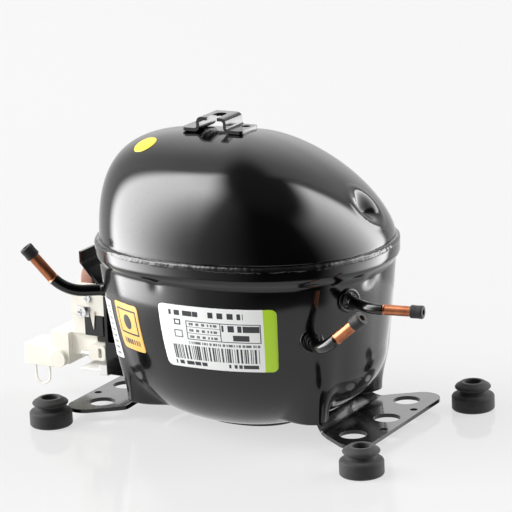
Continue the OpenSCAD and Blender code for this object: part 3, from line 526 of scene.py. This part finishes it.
def soften(node, width):
    """Rounds the edges of a CAD node that stays in view."""
    obj = frame["nodes"][node]
    weld = obj.modifiers.new("weld", "WELD")
    weld.merge_threshold = 0.01 * MM
    finish_edges(obj, width)


# --- shell ------------------------------------------------------------

AROUND = 240                 # points in each ring of the shell
DOME_RINGS, LINING_RINGS = 96, 41
DIMPLE_AT = Vector((75.9, 8.6, 127.3))
DIMPLE_NORMAL = Vector((0.740, 0.062, 0.670)).normalized()
DIMPLE_ALONG = Vector((-0.084, 0.996, 0.0)).normalized()
DIMPLE_DOWN = DIMPLE_NORMAL.cross(DIMPLE_ALONG)
DIMPLE_R1, DIMPLE_R2, DIMPLE_DEPTH = 11.5, 13.0, 6.2     # across the slope, down it, and inwards
DIMPLE_RIDGE = 0.25


def dimple(p):
    """Round pressing on the sloping end of the cover, with a faint raised rim."""
    d = p - DIMPLE_AT
    q = math.hypot(d.dot(DIMPLE_ALONG) / DIMPLE_R1, d.dot(DIMPLE_DOWN) / DIMPLE_R2)
    if q > 1.6 or p.x < 30:
        return p
    sink = DIMPLE_DEPTH * (1 - smooth(0.0, 1.0, q))
    ridge = DIMPLE_RIDGE * math.exp(-((q - 1.1) / 0.1) ** 2)
    return p - DIMPLE_NORMAL * (sink - ridge)


def build_cover():
    """Cover pressing: its outside from the lip to the top, and its lining back down to the seam."""
    stack = [[rim_point(t, -SHEET, LIP_Z) for t in turn(AROUND)]]
    for z in (LIP_Z, LIP_Z + 0.8, LIP_Z + 5, RIM_Z + 0.1):
        stack.append([rim_point(t, 0, z) for t in turn(AROUND)])
    for k in range(DOME_RINGS):
        h = math.sin(math.radians(88.6 * k / (DOME_RINGS - 1)))
        stack.append([dimple(dome_point(t, h)) for t in turn(AROUND)])
    inner = []
    for k in reversed(range(LINING_RINGS)):
        h = math.sin(math.radians(84.0 * k / (LINING_RINGS - 1)))
        inner.append([dimple(dome_point(t, h, SHEET)) for t in turn(AROUND)])
    verts = [v for r in stack for v in r]
    faces = ring_faces(len(stack), AROUND)
    top = len(verts) - AROUND
    faces.append(tuple(top + i for i in range(AROUND)))
    start = len(verts)
    verts += [v for r in inner for v in r]
    faces += [tuple(start + i for i in f) for f in ring_faces(len(inner), AROUND)]
    faces.append(tuple(start + i for i in range(AROUND)))
    faces += bridge(start + (len(inner) - 1) * AROUND, 0, AROUND)
    mesh_object("cover_pressing", verts, faces, [GLOSS_BLACK], "shell", ["upper_cover"])


DENTS = [Vector((-21.6, -70.7, 89.8)), Vector((87.5, -14.0, 89.2))]
DENT_R, DENT_DEPTH = 3.2, 1.0


def dented(p):
    """Two small dents just under the rim."""
    for spot in DENTS:
        d = (p - spot).length / DENT_R
        if d < 2.5:
            p = p - Vector((p.x, p.y, 0)).normalized() * DENT_DEPTH * math.exp(-d * d)
    return p


def build_housing():
    """Housing pressing: from the bottom up its outside, round its flared rim and down its lining."""
    rings = []
    bottom = [rise - BELLY for rise in (0, 0.4, 1.2, 2.2, 3.6)] + [0, 1.5, 3, 4.5, LOBE_Z - 0.1]
    for z in bottom:
        rings.append([wall_point(t, z, 0, False) for t in turn(AROUND)])
    low = rings[-1]
    rings.append([p.lerp(wall_point(t, LOBE_Z), 0.85) for p, t in zip(low, turn(AROUND))])
    rings.append([wall_point(t, LOBE_Z + 0.9) for t in turn(AROUND)])
    z = LOBE_Z + 2
    while z < NECK_Z:
        rings.append([dented(wall_point(t, z)) for t in turn(AROUND)])
        z += 1.3 if z > 78 else 2.0
    flare = [(0.1, NECK_Z + 0.6), (0.42, NECK_Z + 2), (0.78, NECK_Z + 3.2), (0.97, NECK_Z + 4.8)]
    flare += [(1, NECK_Z + 6.5), (1, RIM_Z - 3.4), (0.95, RIM_Z - 1.8), (0.75, RIM_Z - 0.5), (0.5, RIM_Z)]
    for share, z in flare:
        rings.append([rim_point(t, RIM_OUT * share, z) for t in turn(AROUND)])
    for extra, z in ((GAP, RIM_Z), (GAP, LIP_Z - GAP), (-SHEET, LIP_Z - GAP)):
        rings.append([rim_point(t, extra, z) for t in turn(AROUND)])
    for z in (90, 76, 60, 48, 40, 30, 21, 14, 8, 4, 1, SHEET - BELLY):
        rings.append([wall_point(t, z, SHEET, False) for t in turn(AROUND)])
    verts = [v for r in rings for v in r]
    faces = ring_faces(len(rings), AROUND)
    faces.append(tuple(range(AROUND)))
    faces.append(tuple(len(verts) - AROUND + i for i in range(AROUND)))
    mesh_object("housing_pressing", verts, faces, [GLOSS_BLACK], "shell", ["lower_housing"])


def build_weld_bead():
    """Seam weld: a wide, smoothly run bead, slightly uneven beneath its paint."""
    count, sides, radius = 720, 18, RIM_OUT - 0.2
    verts = []
    for t in turn(count):
        for v in turn(sides):
            seed = Vector((math.cos(t) * 9, math.sin(t) * 9, math.cos(v) * 1.5 + math.sin(v)))
            r = radius * (0.97 + 0.12 * noise.noise(seed * 1.3) + 0.09 * noise.noise(seed * 4.9))
            r = min(r, radius * 1.08)
            d = oval(t, SEAM_A + 0.4, SEAM_B + 0.4) + r * math.cos(v)
            verts.append(Vector((d * math.cos(t), d * math.sin(t), RIM_Z + 0.6 - radius + r * math.sin(v))))
    mesh_object("seam_weld", verts, hoop_faces(count, sides), [WELD], "shell", ["weld_bead"])


# --- sheet metal ------------------------------------------------------


def sheet_metal(name, outline, holes, thickness, cuts, bend, node, edge=0.3):
    """A flat blank with holes, cut across at the given places along X and carried onto its bent shape."""
    curve = bpy.data.curves.new(name, "CURVE")
    curve.dimensions = "2D"
    curve.fill_mode = "BOTH"
    for loop in [outline] + holes:
        spline = curve.splines.new("POLY")
        spline.points.add(len(loop) - 1)
        spline.use_cyclic_u = True
        for point, (x, y) in zip(spline.points, loop):
            point.co = (x, y, 0, 1)
    flat = bpy.data.objects.new(name + "_blank", curve)
    bpy.context.collection.objects.link(flat)
    bpy.context.view_layer.update()
    mesh = bpy.data.meshes.new_from_object(flat.evaluated_get(bpy.context.evaluated_depsgraph_get()))
    bpy.data.objects.remove(flat)
    bm = bmesh.new()
    bm.from_mesh(mesh)
    bmesh.ops.remove_doubles(bm, verts=bm.verts, dist=0.001)
    for x in cuts:
        bmesh.ops.bisect_plane(bm, geom=bm.verts[:] + bm.edges[:] + bm.faces[:], dist=1e-5,
                               plane_co=(x, 0, 0), plane_no=(1, 0, 0))
    for v in bm.verts:
        v.co = bend(v.co)
    bmesh.ops.recalc_face_normals(bm, faces=bm.faces)
    verts = [v.co.copy() for v in bm.verts]
    bm.verts.index_update()
    faces = [tuple(v.index for v in f.verts) for f in bm.faces]
    bm.free()
    obj = mesh_object(name, verts, faces, [BRACKET_BLACK], "shell", [node], smooth=False)
    solid = obj.modifiers.new("thickness", "SOLIDIFY")
    solid.thickness = thickness * MM
    solid.offset = 0
    solid.use_even_offset = True
    finish_edges(obj, edge, 50)


def circle(x, y, r, count=40):
    return [(x + r * math.cos(t), y + r * math.sin(t)) for t in turn(count)]


def hull(points):
    """Convex outline of the points, counter-clockwise."""
    pts = sorted(set((round(x, 6), round(y, 6)) for x, y in points))

    def half(seq):
        out = []
        for p in seq:
            while len(out) > 1 and cross2(out[-2], out[-1], p) <= 0:
                out.pop()
            out.append(p)
        return out[:-1]

    return half(pts) + half(pts[::-1])


def cross2(a, b, c):
    return (b[0] - a[0]) * (c[1] - a[1]) - (b[1] - a[1]) * (c[0] - a[0])


PLATE_OUT = box_mm("right_foot_plate")[1].x
PLATE_WIDE = box_mm("right_foot_plate")[1].y
PLATE_T = 2.3
PLATE_ROUND = 11.0           # radius of its outer corners
PLATE_STEP = 64.0            # where it steps up towards the lobes
PLATE_NECK = 32.0            # half width of its inner part
PLATE_NECK_X = 60.0          # where that part starts to widen
PLATE_MID = (71.5, 42.2)     # where its sides turn outwards
PLATE_TIP_X = 44.2           # inner ends, beneath the lobes
FOOT_X, FOOT_Y, FOOT_R = 85.0, 35.0, 8.0             # grommet holes
MIDDLE_X = 89.2              # plain hole between them
SMALL_X, SMALL_Y, SMALL_R = 97.0, 20.0, 2.3          # two small holes near the edge


def build_foot_plate(side):
    """Foot plate of one end: flat outside, and a step up to the lobes, with its inner edge along the bowl."""
    corner_x, corner_y = PLATE_OUT - PLATE_ROUND, PLATE_WIDE - PLATE_ROUND
    points = circle(corner_x, corner_y, PLATE_ROUND, 64) + circle(corner_x, -corner_y, PLATE_ROUND, 64)
    points += [(PLATE_NECK_X, -PLATE_NECK), (PLATE_NECK_X, PLATE_NECK)]
    points += [(PLATE_MID[0], -PLATE_MID[1]), PLATE_MID]
    wide = hull(points)
    start = min(range(len(wide)), key=lambda i: (wide[i][0], wide[i][1]))
    wide = wide[start:] + wide[:start]
    inner = []
    for deg in range(60, -61, -4):
        t = math.radians(deg)
        r = oval(t, SEAM_A * wall_scale(LOBE_Z) + 0.4, SEAM_B * side_scale(LOBE_Z) + 0.4)
        x, y = BOWL_SHIFT + r * math.cos(t), r * math.sin(t)
        if abs(y) < PLATE_NECK - 0.2 and x > PLATE_TIP_X - 1.2:
            inner.append((x, y))
    outline = [(PLATE_TIP_X, -PLATE_NECK)] + wide + [(PLATE_TIP_X, PLATE_NECK)] + inner
    holes = [circle(FOOT_X, -FOOT_Y, FOOT_R), circle(MIDDLE_X, 0, FOOT_R), circle(FOOT_X, FOOT_Y, FOOT_R)]
    holes += [circle(SMALL_X, y, SMALL_R, 24) for y in (-SMALL_Y, SMALL_Y)]
    lift = LOBE_Z - PLATE_T
    bend_from = PLATE_STEP - 4.5
    bend_cuts = [bend_from + k for k in range(9)]

    def bend(p):
        z = PLATE_T / 2 + lift * (1 - smooth(bend_from, bend_cuts[-1], p.x))
        return Vector((side * p.x, p.y, z))

    name = "right_foot" if side > 0 else "left_foot"
    sheet_metal(name + "_pressing", outline, holes, PLATE_T, bend_cuts, bend, name + "_plate", 0.45)


TRAY = box_mm("top_tray_bracket")
TRAY_T = 2.0
TRAY_SPAN = 16.0             # between its legs
TRAY_H = 9.0
TRAY_FOOT = 10.5             # length of each foot
TRAY_ROUND = 2.0             # radius of the strip's corners
NOTCH_X, NOTCH_R, NOTCH_TOP = 0.5, 3.5, 1.2          # open slot in its top


def path_point(path, s):
    """Place on a polyline at the distance s from its middle."""
    lengths = [0.0]
    for a, b in zip(path, path[1:]):
        lengths.append(lengths[-1] + (b - a).length)
    s += lengths[-1] / 2
    for (a, b), l0, l1 in zip(zip(path, path[1:]), lengths, lengths[1:]):
        if s <= l1 or b is path[-1]:
            return a + (b - a) * ((s - l0) / (l1 - l0))


def fillet(points, radius, steps=6):
    """The path with each right-angled corner replaced by an arc."""
    out = [Vector(points[0])]
    for a, p, b in zip(points, points[1:], points[2:]):
        a, p, b = Vector(a), Vector(p), Vector(b)
        start, end = p + (a - p).normalized() * radius, p + (b - p).normalized() * radius
        centre = start + (end - p)
        for k in range(steps + 1):
            u = k / steps * math.pi / 2
            out.append(centre + (start - centre) * math.cos(u) + (end - centre) * math.sin(u))
    out.append(Vector(points[-1]))
    return out


def build_tray_bracket():
    """Hat-shaped strip on top of the cover: two feet with holes, two legs and a slotted top."""
    mid = (TRAY[0].x + TRAY[1].x) / 2
    wide = (TRAY[1].y - TRAY[0].y) / 2
    base = TRAY[1].z - TRAY_H
    wall = TRAY_SPAN / 2 + TRAY_T / 2
    end = wall + TRAY_T / 2 + TRAY_FOOT
    corner = [(-end, 1), (-wall, 1), (-wall, TRAY_H - 1), (wall, TRAY_H - 1), (wall, 1), (end, 1)]
    path = fillet(corner, 2.4)
    length = sum((b - a).length for a, b in zip(path, path[1:]))
    half = length / 2
    corner_x, corner_y = half - TRAY_ROUND, wide - TRAY_ROUND

    def corner_arc(cx, cy, start):
        angles = [math.radians(start + 15 * k) for k in range(7)]
        return [(cx + TRAY_ROUND * math.cos(a), cy + TRAY_ROUND * math.sin(a)) for a in angles]

    bow = [math.pi * k / 10 for k in range(1, 10)]
    notch = [(NOTCH_X + NOTCH_R, -wide), (NOTCH_X + NOTCH_R, NOTCH_TOP)]
    notch += [(NOTCH_X + NOTCH_R * math.cos(a), NOTCH_TOP + NOTCH_R * math.sin(a)) for a in bow]
    notch += [(NOTCH_X - NOTCH_R, NOTCH_TOP), (NOTCH_X - NOTCH_R, -wide)]
    outline = corner_arc(-corner_x, -corner_y, 180) + notch[::-1] + corner_arc(corner_x, -corner_y, 270)
    outline += corner_arc(corner_x, corner_y, 0) + corner_arc(-corner_x, corner_y, 90)
    hole_s = half - TRAY_FOOT / 2 + 0.4
    holes = [circle(s * hole_s, 4.0, 2.6, 28) for s in (-1, 1)]

    def bend(p):
        q = path_point(path, p.x)
        return Vector((mid + q.x, p.y, base + q.y))

    cuts = []
    run = 0.0
    for a, b in zip(path, path[1:]):
        run += (b - a).length
        cuts.append(run - half)
    sheet_metal("tray_bracket_strip", outline, holes, TRAY_T, cuts[:-1], bend, "top_tray_bracket")


# --- grommets ---------------------------------------------------------

GROMMET_PROFILE = [
    (5.0, 0.4), (5.4, 0), (11.9, 0), (12.8, 0.9), (12.8, 8.2), (12.0, 9.3), (9.0, 9.8), (8.0, 10.7),
    (8.0, 12.2), (10.4, 13.0), (10.9, 13.9), (10.2, 15.0), (8.2, 16.2), (7.0, 17), (5.4, 17), (5.0, 16.6),
]


def build_grommet(node):
    """Loose rubber grommet."""
    low, high = box_mm(node)
    centre = Vector(((low.x + high.x) / 2, (low.y + high.y) / 2, low.z))

    def flash(p, t):
        """Mould flash along two seams, and slightly uneven rubber."""
        seam = math.exp(-((math.sin(t - 0.7)) / 0.03) ** 2) * 0.12
        soft = 0.06 * noise.noise(Vector((p.x * 0.25, p.y * 0.25, p.z * 0.3)) + centre * 0.01)
        out = Vector((p.x, p.y, 0)).normalized()
        grow = (seam + soft) if 5.2 < math.hypot(p.x, p.y) < 12.5 else 0
        return p + out * grow

    verts, faces = lathe(rounded(GROMMET_PROFILE, 0.35), 96, Matrix.Translation(centre), flash)
    mesh_object(node + "_moulding", verts, faces, [GROMMET_RUBBER], node + "_body", [node])


# --- tubes ------------------------------------------------------------

# Place on the housing, direction of the wall's normal, turn of the bend about it, bend angle,
# straight lengths before and after the bend, bend radius and the tube's diameter
PORTS = {
    "suction": (Vector((-78.8, -29.7, 71.6)), 209.9, 88.8, 52.5, 14.6, 22.3, 24.6, 7.0),
    "discharge": (Vector((82.8, -30.6, 81)), -29.8, 0, 36.7, 17.4, 25.4, 15, 6.2),
    "process": (Vector((66.8, -47.7, 60.2)), -47.8, 48.7, 59.2, 12.6, 23.2, 18, 7.0),
}
TUBE_WALL = 0.8
TUBE_IN = 6.0                # how far a tube reaches inside the housing
PAINT_FILM = 0.12
BARE = {"suction": 24.1, "discharge": 22.5, "process": 20.5}     # unpainted copper at the end
PAINTED_RINGS, BARE_RINGS = 41, 15


def port_matrix(key):
    at, normal, tilt = PORTS[key][:3]
    return (Matrix.Translation(at) @ Matrix.Rotation(math.radians(normal), 4, "Z")
            @ Matrix.Rotation(math.radians(tilt), 4, "X"))


def tube_point(key, s):
    """Centre line and direction at the distance s from the wall."""
    angle, first, last, radius = PORTS[key][3:7]
    arc = radius * math.radians(angle)
    if s < first:
        return Vector((s, 0, 0)), Vector((1, 0, 0))
    turn_by = min(1.0, (s - first) / arc) * math.radians(angle)
    along = Vector((math.cos(turn_by), math.sin(turn_by), 0))
    p = Vector((first + radius * math.sin(turn_by), radius * (1 - math.cos(turn_by)), 0))
    return p + along * max(0.0, s - first - arc), along


def tube_length(key):
    """From the wall to the open end, along the centre line."""
    angle, first, last, radius = PORTS[key][3:7]
    return first + radius * math.radians(angle) + last


def build_tube(key):
    """Bent copper tube with its bore, painted up to its bare end."""
    sides = 40
    place = port_matrix(key)
    outer = PORTS[key][7] / 2
    bare_from = tube_length(key) - BARE[key]
    stops = [(bare_from + TUBE_IN) * k / (PAINTED_RINGS - 1) - TUBE_IN for k in range(PAINTED_RINGS)]
    stops += [bare_from + 0.02]
    stops += [bare_from + BARE[key] * k / (BARE_RINGS - 1) for k in range(1, BARE_RINGS)]

    def ring(s, r):
        p, along = tube_point(key, s)
        side = Vector((0, 0, 1))
        up = side.cross(along)
        return [place @ (p + r * (math.cos(t) * up + math.sin(t) * side)) for t in turn(sides)]

    rings = [ring(s, outer if s <= bare_from else outer - PAINT_FILM) for s in stops]
    rings += [ring(s, outer - TUBE_WALL) for s in reversed(stops)]
    verts = [v for r in rings for v in r]
    faces = ring_faces(len(rings), sides) + bridge((len(rings) - 1) * sides, 0, sides)
    obj = mesh_object(key + "_pipe", verts, faces, [GLOSS_BLACK, COPPER], "shell", [key + "_tube"])
    for poly in obj.data.polygons:
        if min(poly.vertices) // sides >= PAINTED_RINGS:
            poly.material_index = 1


def build_collar(key):
    """Pressed boss round the tube, with a groove and a brazed fillet."""
    r = PORTS[key][7] / 2
    profile = [(r + 0.05, -1.8), (7.2, -1.8), (7.2, 0.4), (6.9, 1.2), (6.2, 1.7), (5.6, 1.55), (5.2, 1.2)]
    profile += [(4.9, 1.5), (4.6, 2.1), (r + 0.75, 3.0), (r + 0.4, 4.4), (r + 0.1, 5.2)]
    place = port_matrix(key) @ Matrix.Rotation(math.radians(90), 4, "Y")

    def uneven(p, t):
        if p.z < 1.3:
            return p
        c, s = math.cos(t), math.sin(t)
        return p + Vector((c, s, 0)) * 0.12 * noise.noise(Vector((c, s, p.z)) * 2)

    verts, faces = lathe(rounded(profile, 0.3, 2), 64, place, uneven)
    mesh_object(key + "_boss", verts, faces, [GLOSS_BLACK], "shell", [key + "_collar"])


def build_cap(key):
    """Rubber cap with a rolled rim and a vent hole in its face."""
    r = PORTS[key][7] / 2
    end, along = tube_point(key, tube_length(key))
    turn_by = math.atan2(along.y, along.x)
    place = (port_matrix(key) @ Matrix.Translation(end) @ Matrix.Rotation(turn_by, 4, "Z")
             @ Matrix.Rotation(math.radians(90), 4, "Y"))
    profile = [(r + 0.05, -6.2), (r + 0.5, -6.2), (r + 0.74, -5.7), (r + 0.70, -4.9), (r + 0.60, -2.5)]
    profile += [(r + 0.70, -0.6), (r + 0.74, 0.4), (r + 0.45, 1.15), (r * 0.62, 1.2), (r * 0.5, 0.95)]
    profile += [(r * 0.5, 0.02), (r + 0.05, 0.02)]
    verts, faces = lathe(rounded(profile, 0.25, 2), 56, place)
    name = key + "_cap"
    mesh_object(name + "_moulding", verts, faces, [CAP_RUBBER], name + "_body", [name])


# --- labels -----------------------------------------------------------


def build_label(node, name, t0, t1, z0, z1, material, across=48, up=16, corner=3.0):
    """A thin sheet with round corners that follows the wall. Its print coordinates run along it and up it."""
    wide = (wall_point(math.radians(t1), z0) - wall_point(math.radians(t0), z0)).length
    tall = z1 - z0
    arc = [corner * (1 - math.cos(math.radians(15 * k))) for k in range(7)]
    rows = arc + [corner + (tall - 2 * corner) * k / up for k in range(1, up)]
    rows += [tall - d for d in reversed(arc)]
    verts, uvs = [], []
    for lift in (0.3, 0.12):
        for row in rows:
            deep = max(0.0, corner - min(row, tall - row))
            cut = (corner - math.sqrt(corner**2 - deep**2)) / wide
            for i in range(across + 1):
                u, v = cut + (1 - 2 * cut) * i / across, row / tall
                t, z = math.radians(t0 + (t1 - t0) * u), z0 + row
                wave = 0.07 * noise.noise(Vector((u * 5, v * 3, t0)))
                p = wall_point(t, z)
                verts.append(p + Vector((math.cos(t), math.sin(t), 0)) * (lift + wave))
                uvs.append((u, v))
    count = len(rows)
    grid = count * (across + 1)
    faces = []
    for base in (0, grid):
        faces += [tuple(base + i for i in f) for f in ring_faces(count, across + 1, False)]
    edge = list(range(across + 1)) + [k * (across + 1) + across for k in range(1, count)]
    edge += [(count - 1) * (across + 1) + i for i in range(across - 1, -1, -1)]
    edge += [k * (across + 1) for k in range(count - 2, 0, -1)]
    for a, b in zip(edge, edge[1:] + edge[:1]):
        faces.append((a, a + grid, b + grid, b))
    mesh_object(name, verts, faces, [material], "shell", [node], uvs=uvs)


DOT_NORMAL = Vector((-0.218, -0.384, 0.897)).normalized()
DOT_R = 7.4


def on_dome(p, lift):
    """The point of the dome straight above or below p, raised by lift."""
    low, high = 0.0, 0.9999
    t = math.atan2(p.y, p.x - DOME_CX)
    reach = math.hypot(p.x - DOME_CX, p.y)
    for _ in range(40):
        h = (low + high) / 2
        q = dome_point(t, h)
        if math.hypot(q.x - DOME_CX, q.y) > reach:
            low = h
        else:
            high = h
    return Vector((p.x, p.y, SEAM_Z + DOME_H * low)) + DOT_NORMAL * lift


def build_dot():
    """Round sticker that follows the dome."""
    low, high = box_mm("dot_sticker")
    centre = (low + high) / 2
    e1 = Vector((-DOT_NORMAL.y, DOT_NORMAL.x, 0)).normalized()
    e2 = DOT_NORMAL.cross(e1)
    rings, count = 8, 48
    verts, uvs, faces = [], [], []
    for lift in (0.22, 0.06):
        for k in range(rings + 1):
            for t in turn(count):
                r = DOT_R * k / rings
                p = centre + e1 * r * math.cos(t) + e2 * r * math.sin(t)
                verts.append(on_dome(p, lift))
                uvs.append((0.5 + 0.5 * k / rings * math.cos(t), 0.5 + 0.5 * k / rings * math.sin(t)))
    grid = (rings + 1) * count
    for base in (0, grid):
        faces += [tuple(base + i for i in f) for f in ring_faces(rings + 1, count)]
    rim = rings * count
    faces += bridge(rim, grid + rim, count)
    yellow = SLOT_MATERIALS["yellow_sticker"]
    mesh_object("round_sticker", verts, faces, [yellow], "shell", ["dot_sticker"], uvs=uvs)


# --- set --------------------------------------------------------------

AIM = Vector((0, 0, 0.08))   # where the lamp points, in metres
FLOOR_GREY = 0.12
FLOOR_GLOW = 0.60            # the floor shines a little by itself, so that it stays pale
TABLE_R = 280.0              # the compressor only reflects this much of the floor
FLOOR_R = 4500.0
BACKGROUND = 0.905           # brightness of the surroundings as the camera sees them


def add_stage(name, verts, faces, material):
    mesh = bpy.data.meshes.new(name)
    mesh.from_pydata([Vector(v) * MM for v in verts], [], faces)
    mesh.materials.append(material)
    obj = bpy.data.objects.new(name, mesh)
    bpy.context.collection.objects.link(obj)
    return obj


def build_floor():
    """A round table top, and the floor beyond it that only the camera sees."""
    n = Nodes("studio_floor")
    n.set(Base_Color=rgb(FLOOR_GREY, FLOOR_GREY, FLOOR_GREY), Roughness=n.remap(n.noise(3, 2), 0.06, 0.10))
    front_to_back = n.add("ShaderNodeSeparateXYZ", {0: n.place()}).outputs[1]
    inputs = {0: front_to_back, 1: -0.4, 2: 1.6, 3: FLOOR_GLOW + 0.05, 4: FLOOR_GLOW - 0.06}
    glow = n.add("ShaderNodeMapRange", inputs).outputs[0]
    n.set(Emission_Color=rgb(1, 1, 1), Emission_Strength=glow, Specular_IOR_Level=0.03)
    steps, z = 96, -BELLY - 0.02
    near = [(TABLE_R * math.cos(t), TABLE_R * math.sin(t), z) for t in turn(steps)]
    far = [(FLOOR_R * math.cos(t), FLOOR_R * math.sin(t), z) for t in turn(steps)]
    add_stage("studio_table", near, [tuple(range(steps))], n.material)
    beyond = add_stage("studio_floor", far + near, ring_faces(2, steps), n.material)
    beyond.visible_glossy = False
    beyond.visible_diffuse = False


class Sky(Nodes):
    """The studio round the compressor, written as brightness by azimuth and elevation in degrees."""

    def __init__(self, name):
        self.world = bpy.data.worlds.new(name)
        self.world.use_nodes = True
        self.tree = self.world.node_tree
        self.shader = self.tree.nodes["Background"]
        direction = self.add("ShaderNodeTexCoord").outputs["Generated"]
        x, y, z = self.add("ShaderNodeSeparateXYZ", {0: direction}).outputs
        back_x, back_y = self.math("MULTIPLY", x, -1.0), self.math("MULTIPLY", y, -1.0)
        self.azimuth = self.degrees("ARCTAN2", y, x)
        self.from_left = self.degrees("ARCTAN2", back_y, back_x)     # the same, counted from -X
        self.elevation = self.degrees("ARCSINE", z)

    def degrees(self, operation, a, b=0.0):
        return self.math("MULTIPLY", self.math(operation, a, b), math.degrees(1))

    def rise(self, value, low, high):
        inputs = {0: value, 1: low, 2: high}
        return self.add("ShaderNodeMapRange", inputs, interpolation_type="SMOOTHSTEP").outputs[0]

    def fall(self, value, low, high):
        inputs = {0: value, 1: low, 2: high, 3: 1.0, 4: 0.0}
        return self.add("ShaderNodeMapRange", inputs, interpolation_type="SMOOTHSTEP").outputs[0]

    def product(self, *parts):
        total = parts[0]
        for part in parts[1:]:
            total = self.math("MULTIPLY", total, part)
        return total


def left_card(s):
    """Big soft light on the left, which fades out towards the camera."""
    bright, faint = s.product(s.fall(s.from_left, 19, 66), 8.6), s.product(s.fall(s.from_left, 50, 108), 0.55)
    edges = s.product(s.rise(s.from_left, -8, 4), s.fall(s.elevation, 56, 76))
    return s.product(edges, s.math("ADD", bright, faint))


def right_card(s):
    """Big soft light on the right, brightest at its far edge."""
    ramp = s.add("ShaderNodeMapRange", {0: s.azimuth, 1: -26, 2: 56}).outputs[0]
    return s.product(s.math("POWER", ramp, 1.6), s.fall(s.azimuth, 62, 68), s.fall(s.elevation, 50, 64), 6.8)


def back_wall(s):
    """White wall behind the compressor, with a brighter patch in its middle."""
    wall = s.product(s.rise(s.azimuth, 66, 76), s.fall(s.azimuth, 166, 178))
    wall = s.product(wall, s.fall(s.elevation, 60, 76), 0.70)
    patch = s.product(s.rise(s.azimuth, 78, 112), s.fall(s.azimuth, 122, 160), 0.80)
    patch = s.product(patch, s.rise(s.elevation, 0, 26), s.fall(s.elevation, 44, 68))
    return s.math("ADD", wall, patch)


def softbox(name, azimuth, elevation, distance, width, height, radiance):
    """A soft light aimed at the compressor, given by the brightness of its surface. It isn't reflected."""
    light = bpy.data.lights.new(name, "AREA")
    light.shape = "RECTANGLE"
    light.size, light.size_y = width, height
    light.energy = radiance * math.pi * width * height
    obj = bpy.data.objects.new(name, light)
    bpy.context.collection.objects.link(obj)
    az, el = math.radians(azimuth), math.radians(elevation)
    toward = Vector((math.cos(az) * math.cos(el), math.sin(az) * math.cos(el), math.sin(el)))
    obj.location = AIM + toward * distance
    obj.rotation_euler = (-toward).to_track_quat("-Z", "Y").to_euler()
    obj.visible_camera = False
    obj.visible_glossy = False


def build_lights():
    """Two big soft lights with a dark gap in front between them. The camera sees plain white surroundings."""
    s = Sky("studio")
    bpy.context.scene.world = s.world
    cards = s.math("ADD", s.math("ADD", left_card(s), right_card(s)), back_wall(s))
    room = s.math("ADD", s.product(s.rise(s.elevation, 58, 78), 0.07), 0.02)
    light = s.math("ADD", s.product(cards, s.rise(s.elevation, -32, -16)), room)
    seen = s.add("ShaderNodeLightPath").outputs["Is Camera Ray"]
    level = s.add("ShaderNodeMapRange", {0: seen, 3: light, 4: BACKGROUND}).outputs[0]
    s.set(Color=rgb(1, 1, 1), Strength=level)
    softbox("front_fill", -75, 35, 3.5, 2.0, 2.0, 3.0)


CAMERA_AZIMUTH, CAMERA_ELEVATION, CAMERA_ROLL = 29.458, 14.694, -2.385
CAMERA_AIM = Vector((-0.055108, 0.108044, 0.060))    # in metres
CAMERA_DISTANCE = 1.87333
CAMERA_LENS = 207.79


def build_camera():
    """The photograph's view."""
    az, el, roll = (math.radians(d) for d in (CAMERA_AZIMUTH, CAMERA_ELEVATION, CAMERA_ROLL))
    back = Vector((math.sin(az) * math.cos(el), -math.cos(az) * math.cos(el), math.sin(el)))
    right = Vector((math.cos(az), math.sin(az), 0))
    up = back.cross(right)
    c, s = math.cos(roll), math.sin(roll)
    right, up = c * right + s * up, -s * right + c * up
    data = bpy.data.cameras.new("camera")
    data.sensor_width = 36
    data.lens = CAMERA_LENS
    data.clip_start, data.clip_end = 0.05, 30
    cam = bpy.data.objects.new("camera", data)
    bpy.context.collection.objects.link(cam)
    place = Matrix((right, up, back)).transposed().to_4x4()
    place.translation = CAMERA_AIM + back * CAMERA_DISTANCE
    cam.matrix_world = place
    bpy.context.scene.camera = cam


def main():
    build_camera()
    bpy.context.scene.view_settings.view_transform = "Standard"
    dress_cad_nodes()
    build_cover()
    build_housing()
    build_weld_bead()
    for side in (-1, 1):
        build_foot_plate(side)
    build_tray_bracket()
    for node in ("front_grommet", "right_grommet", "left_grommet", "rear_grommet"):
        build_grommet(node)
    for key in PORTS:
        build_tube(key)
        build_collar(key)
        build_cap(key)
    # Angles round the shell in degrees, then heights
    white, orange = SLOT_MATERIALS["white_label"], SLOT_MATERIALS["orange_label"]
    build_label("rating_label", "rating_sheet", 254, 310.3, 42, 80.5, white)
    build_label("caution_label", "caution_sheet", 223, 240.5, 45.5, 74.5, orange, 20, 16, 2.5)
    build_label("side_label", "side_strip", 211, 218.5, 36, 72, STRIP_PRINT, 8, 16, 0.8)
    build_dot()
    for node in KEPT_NODES:
        soften(node, 0.5)
    build_floor()
    build_lights()


main()
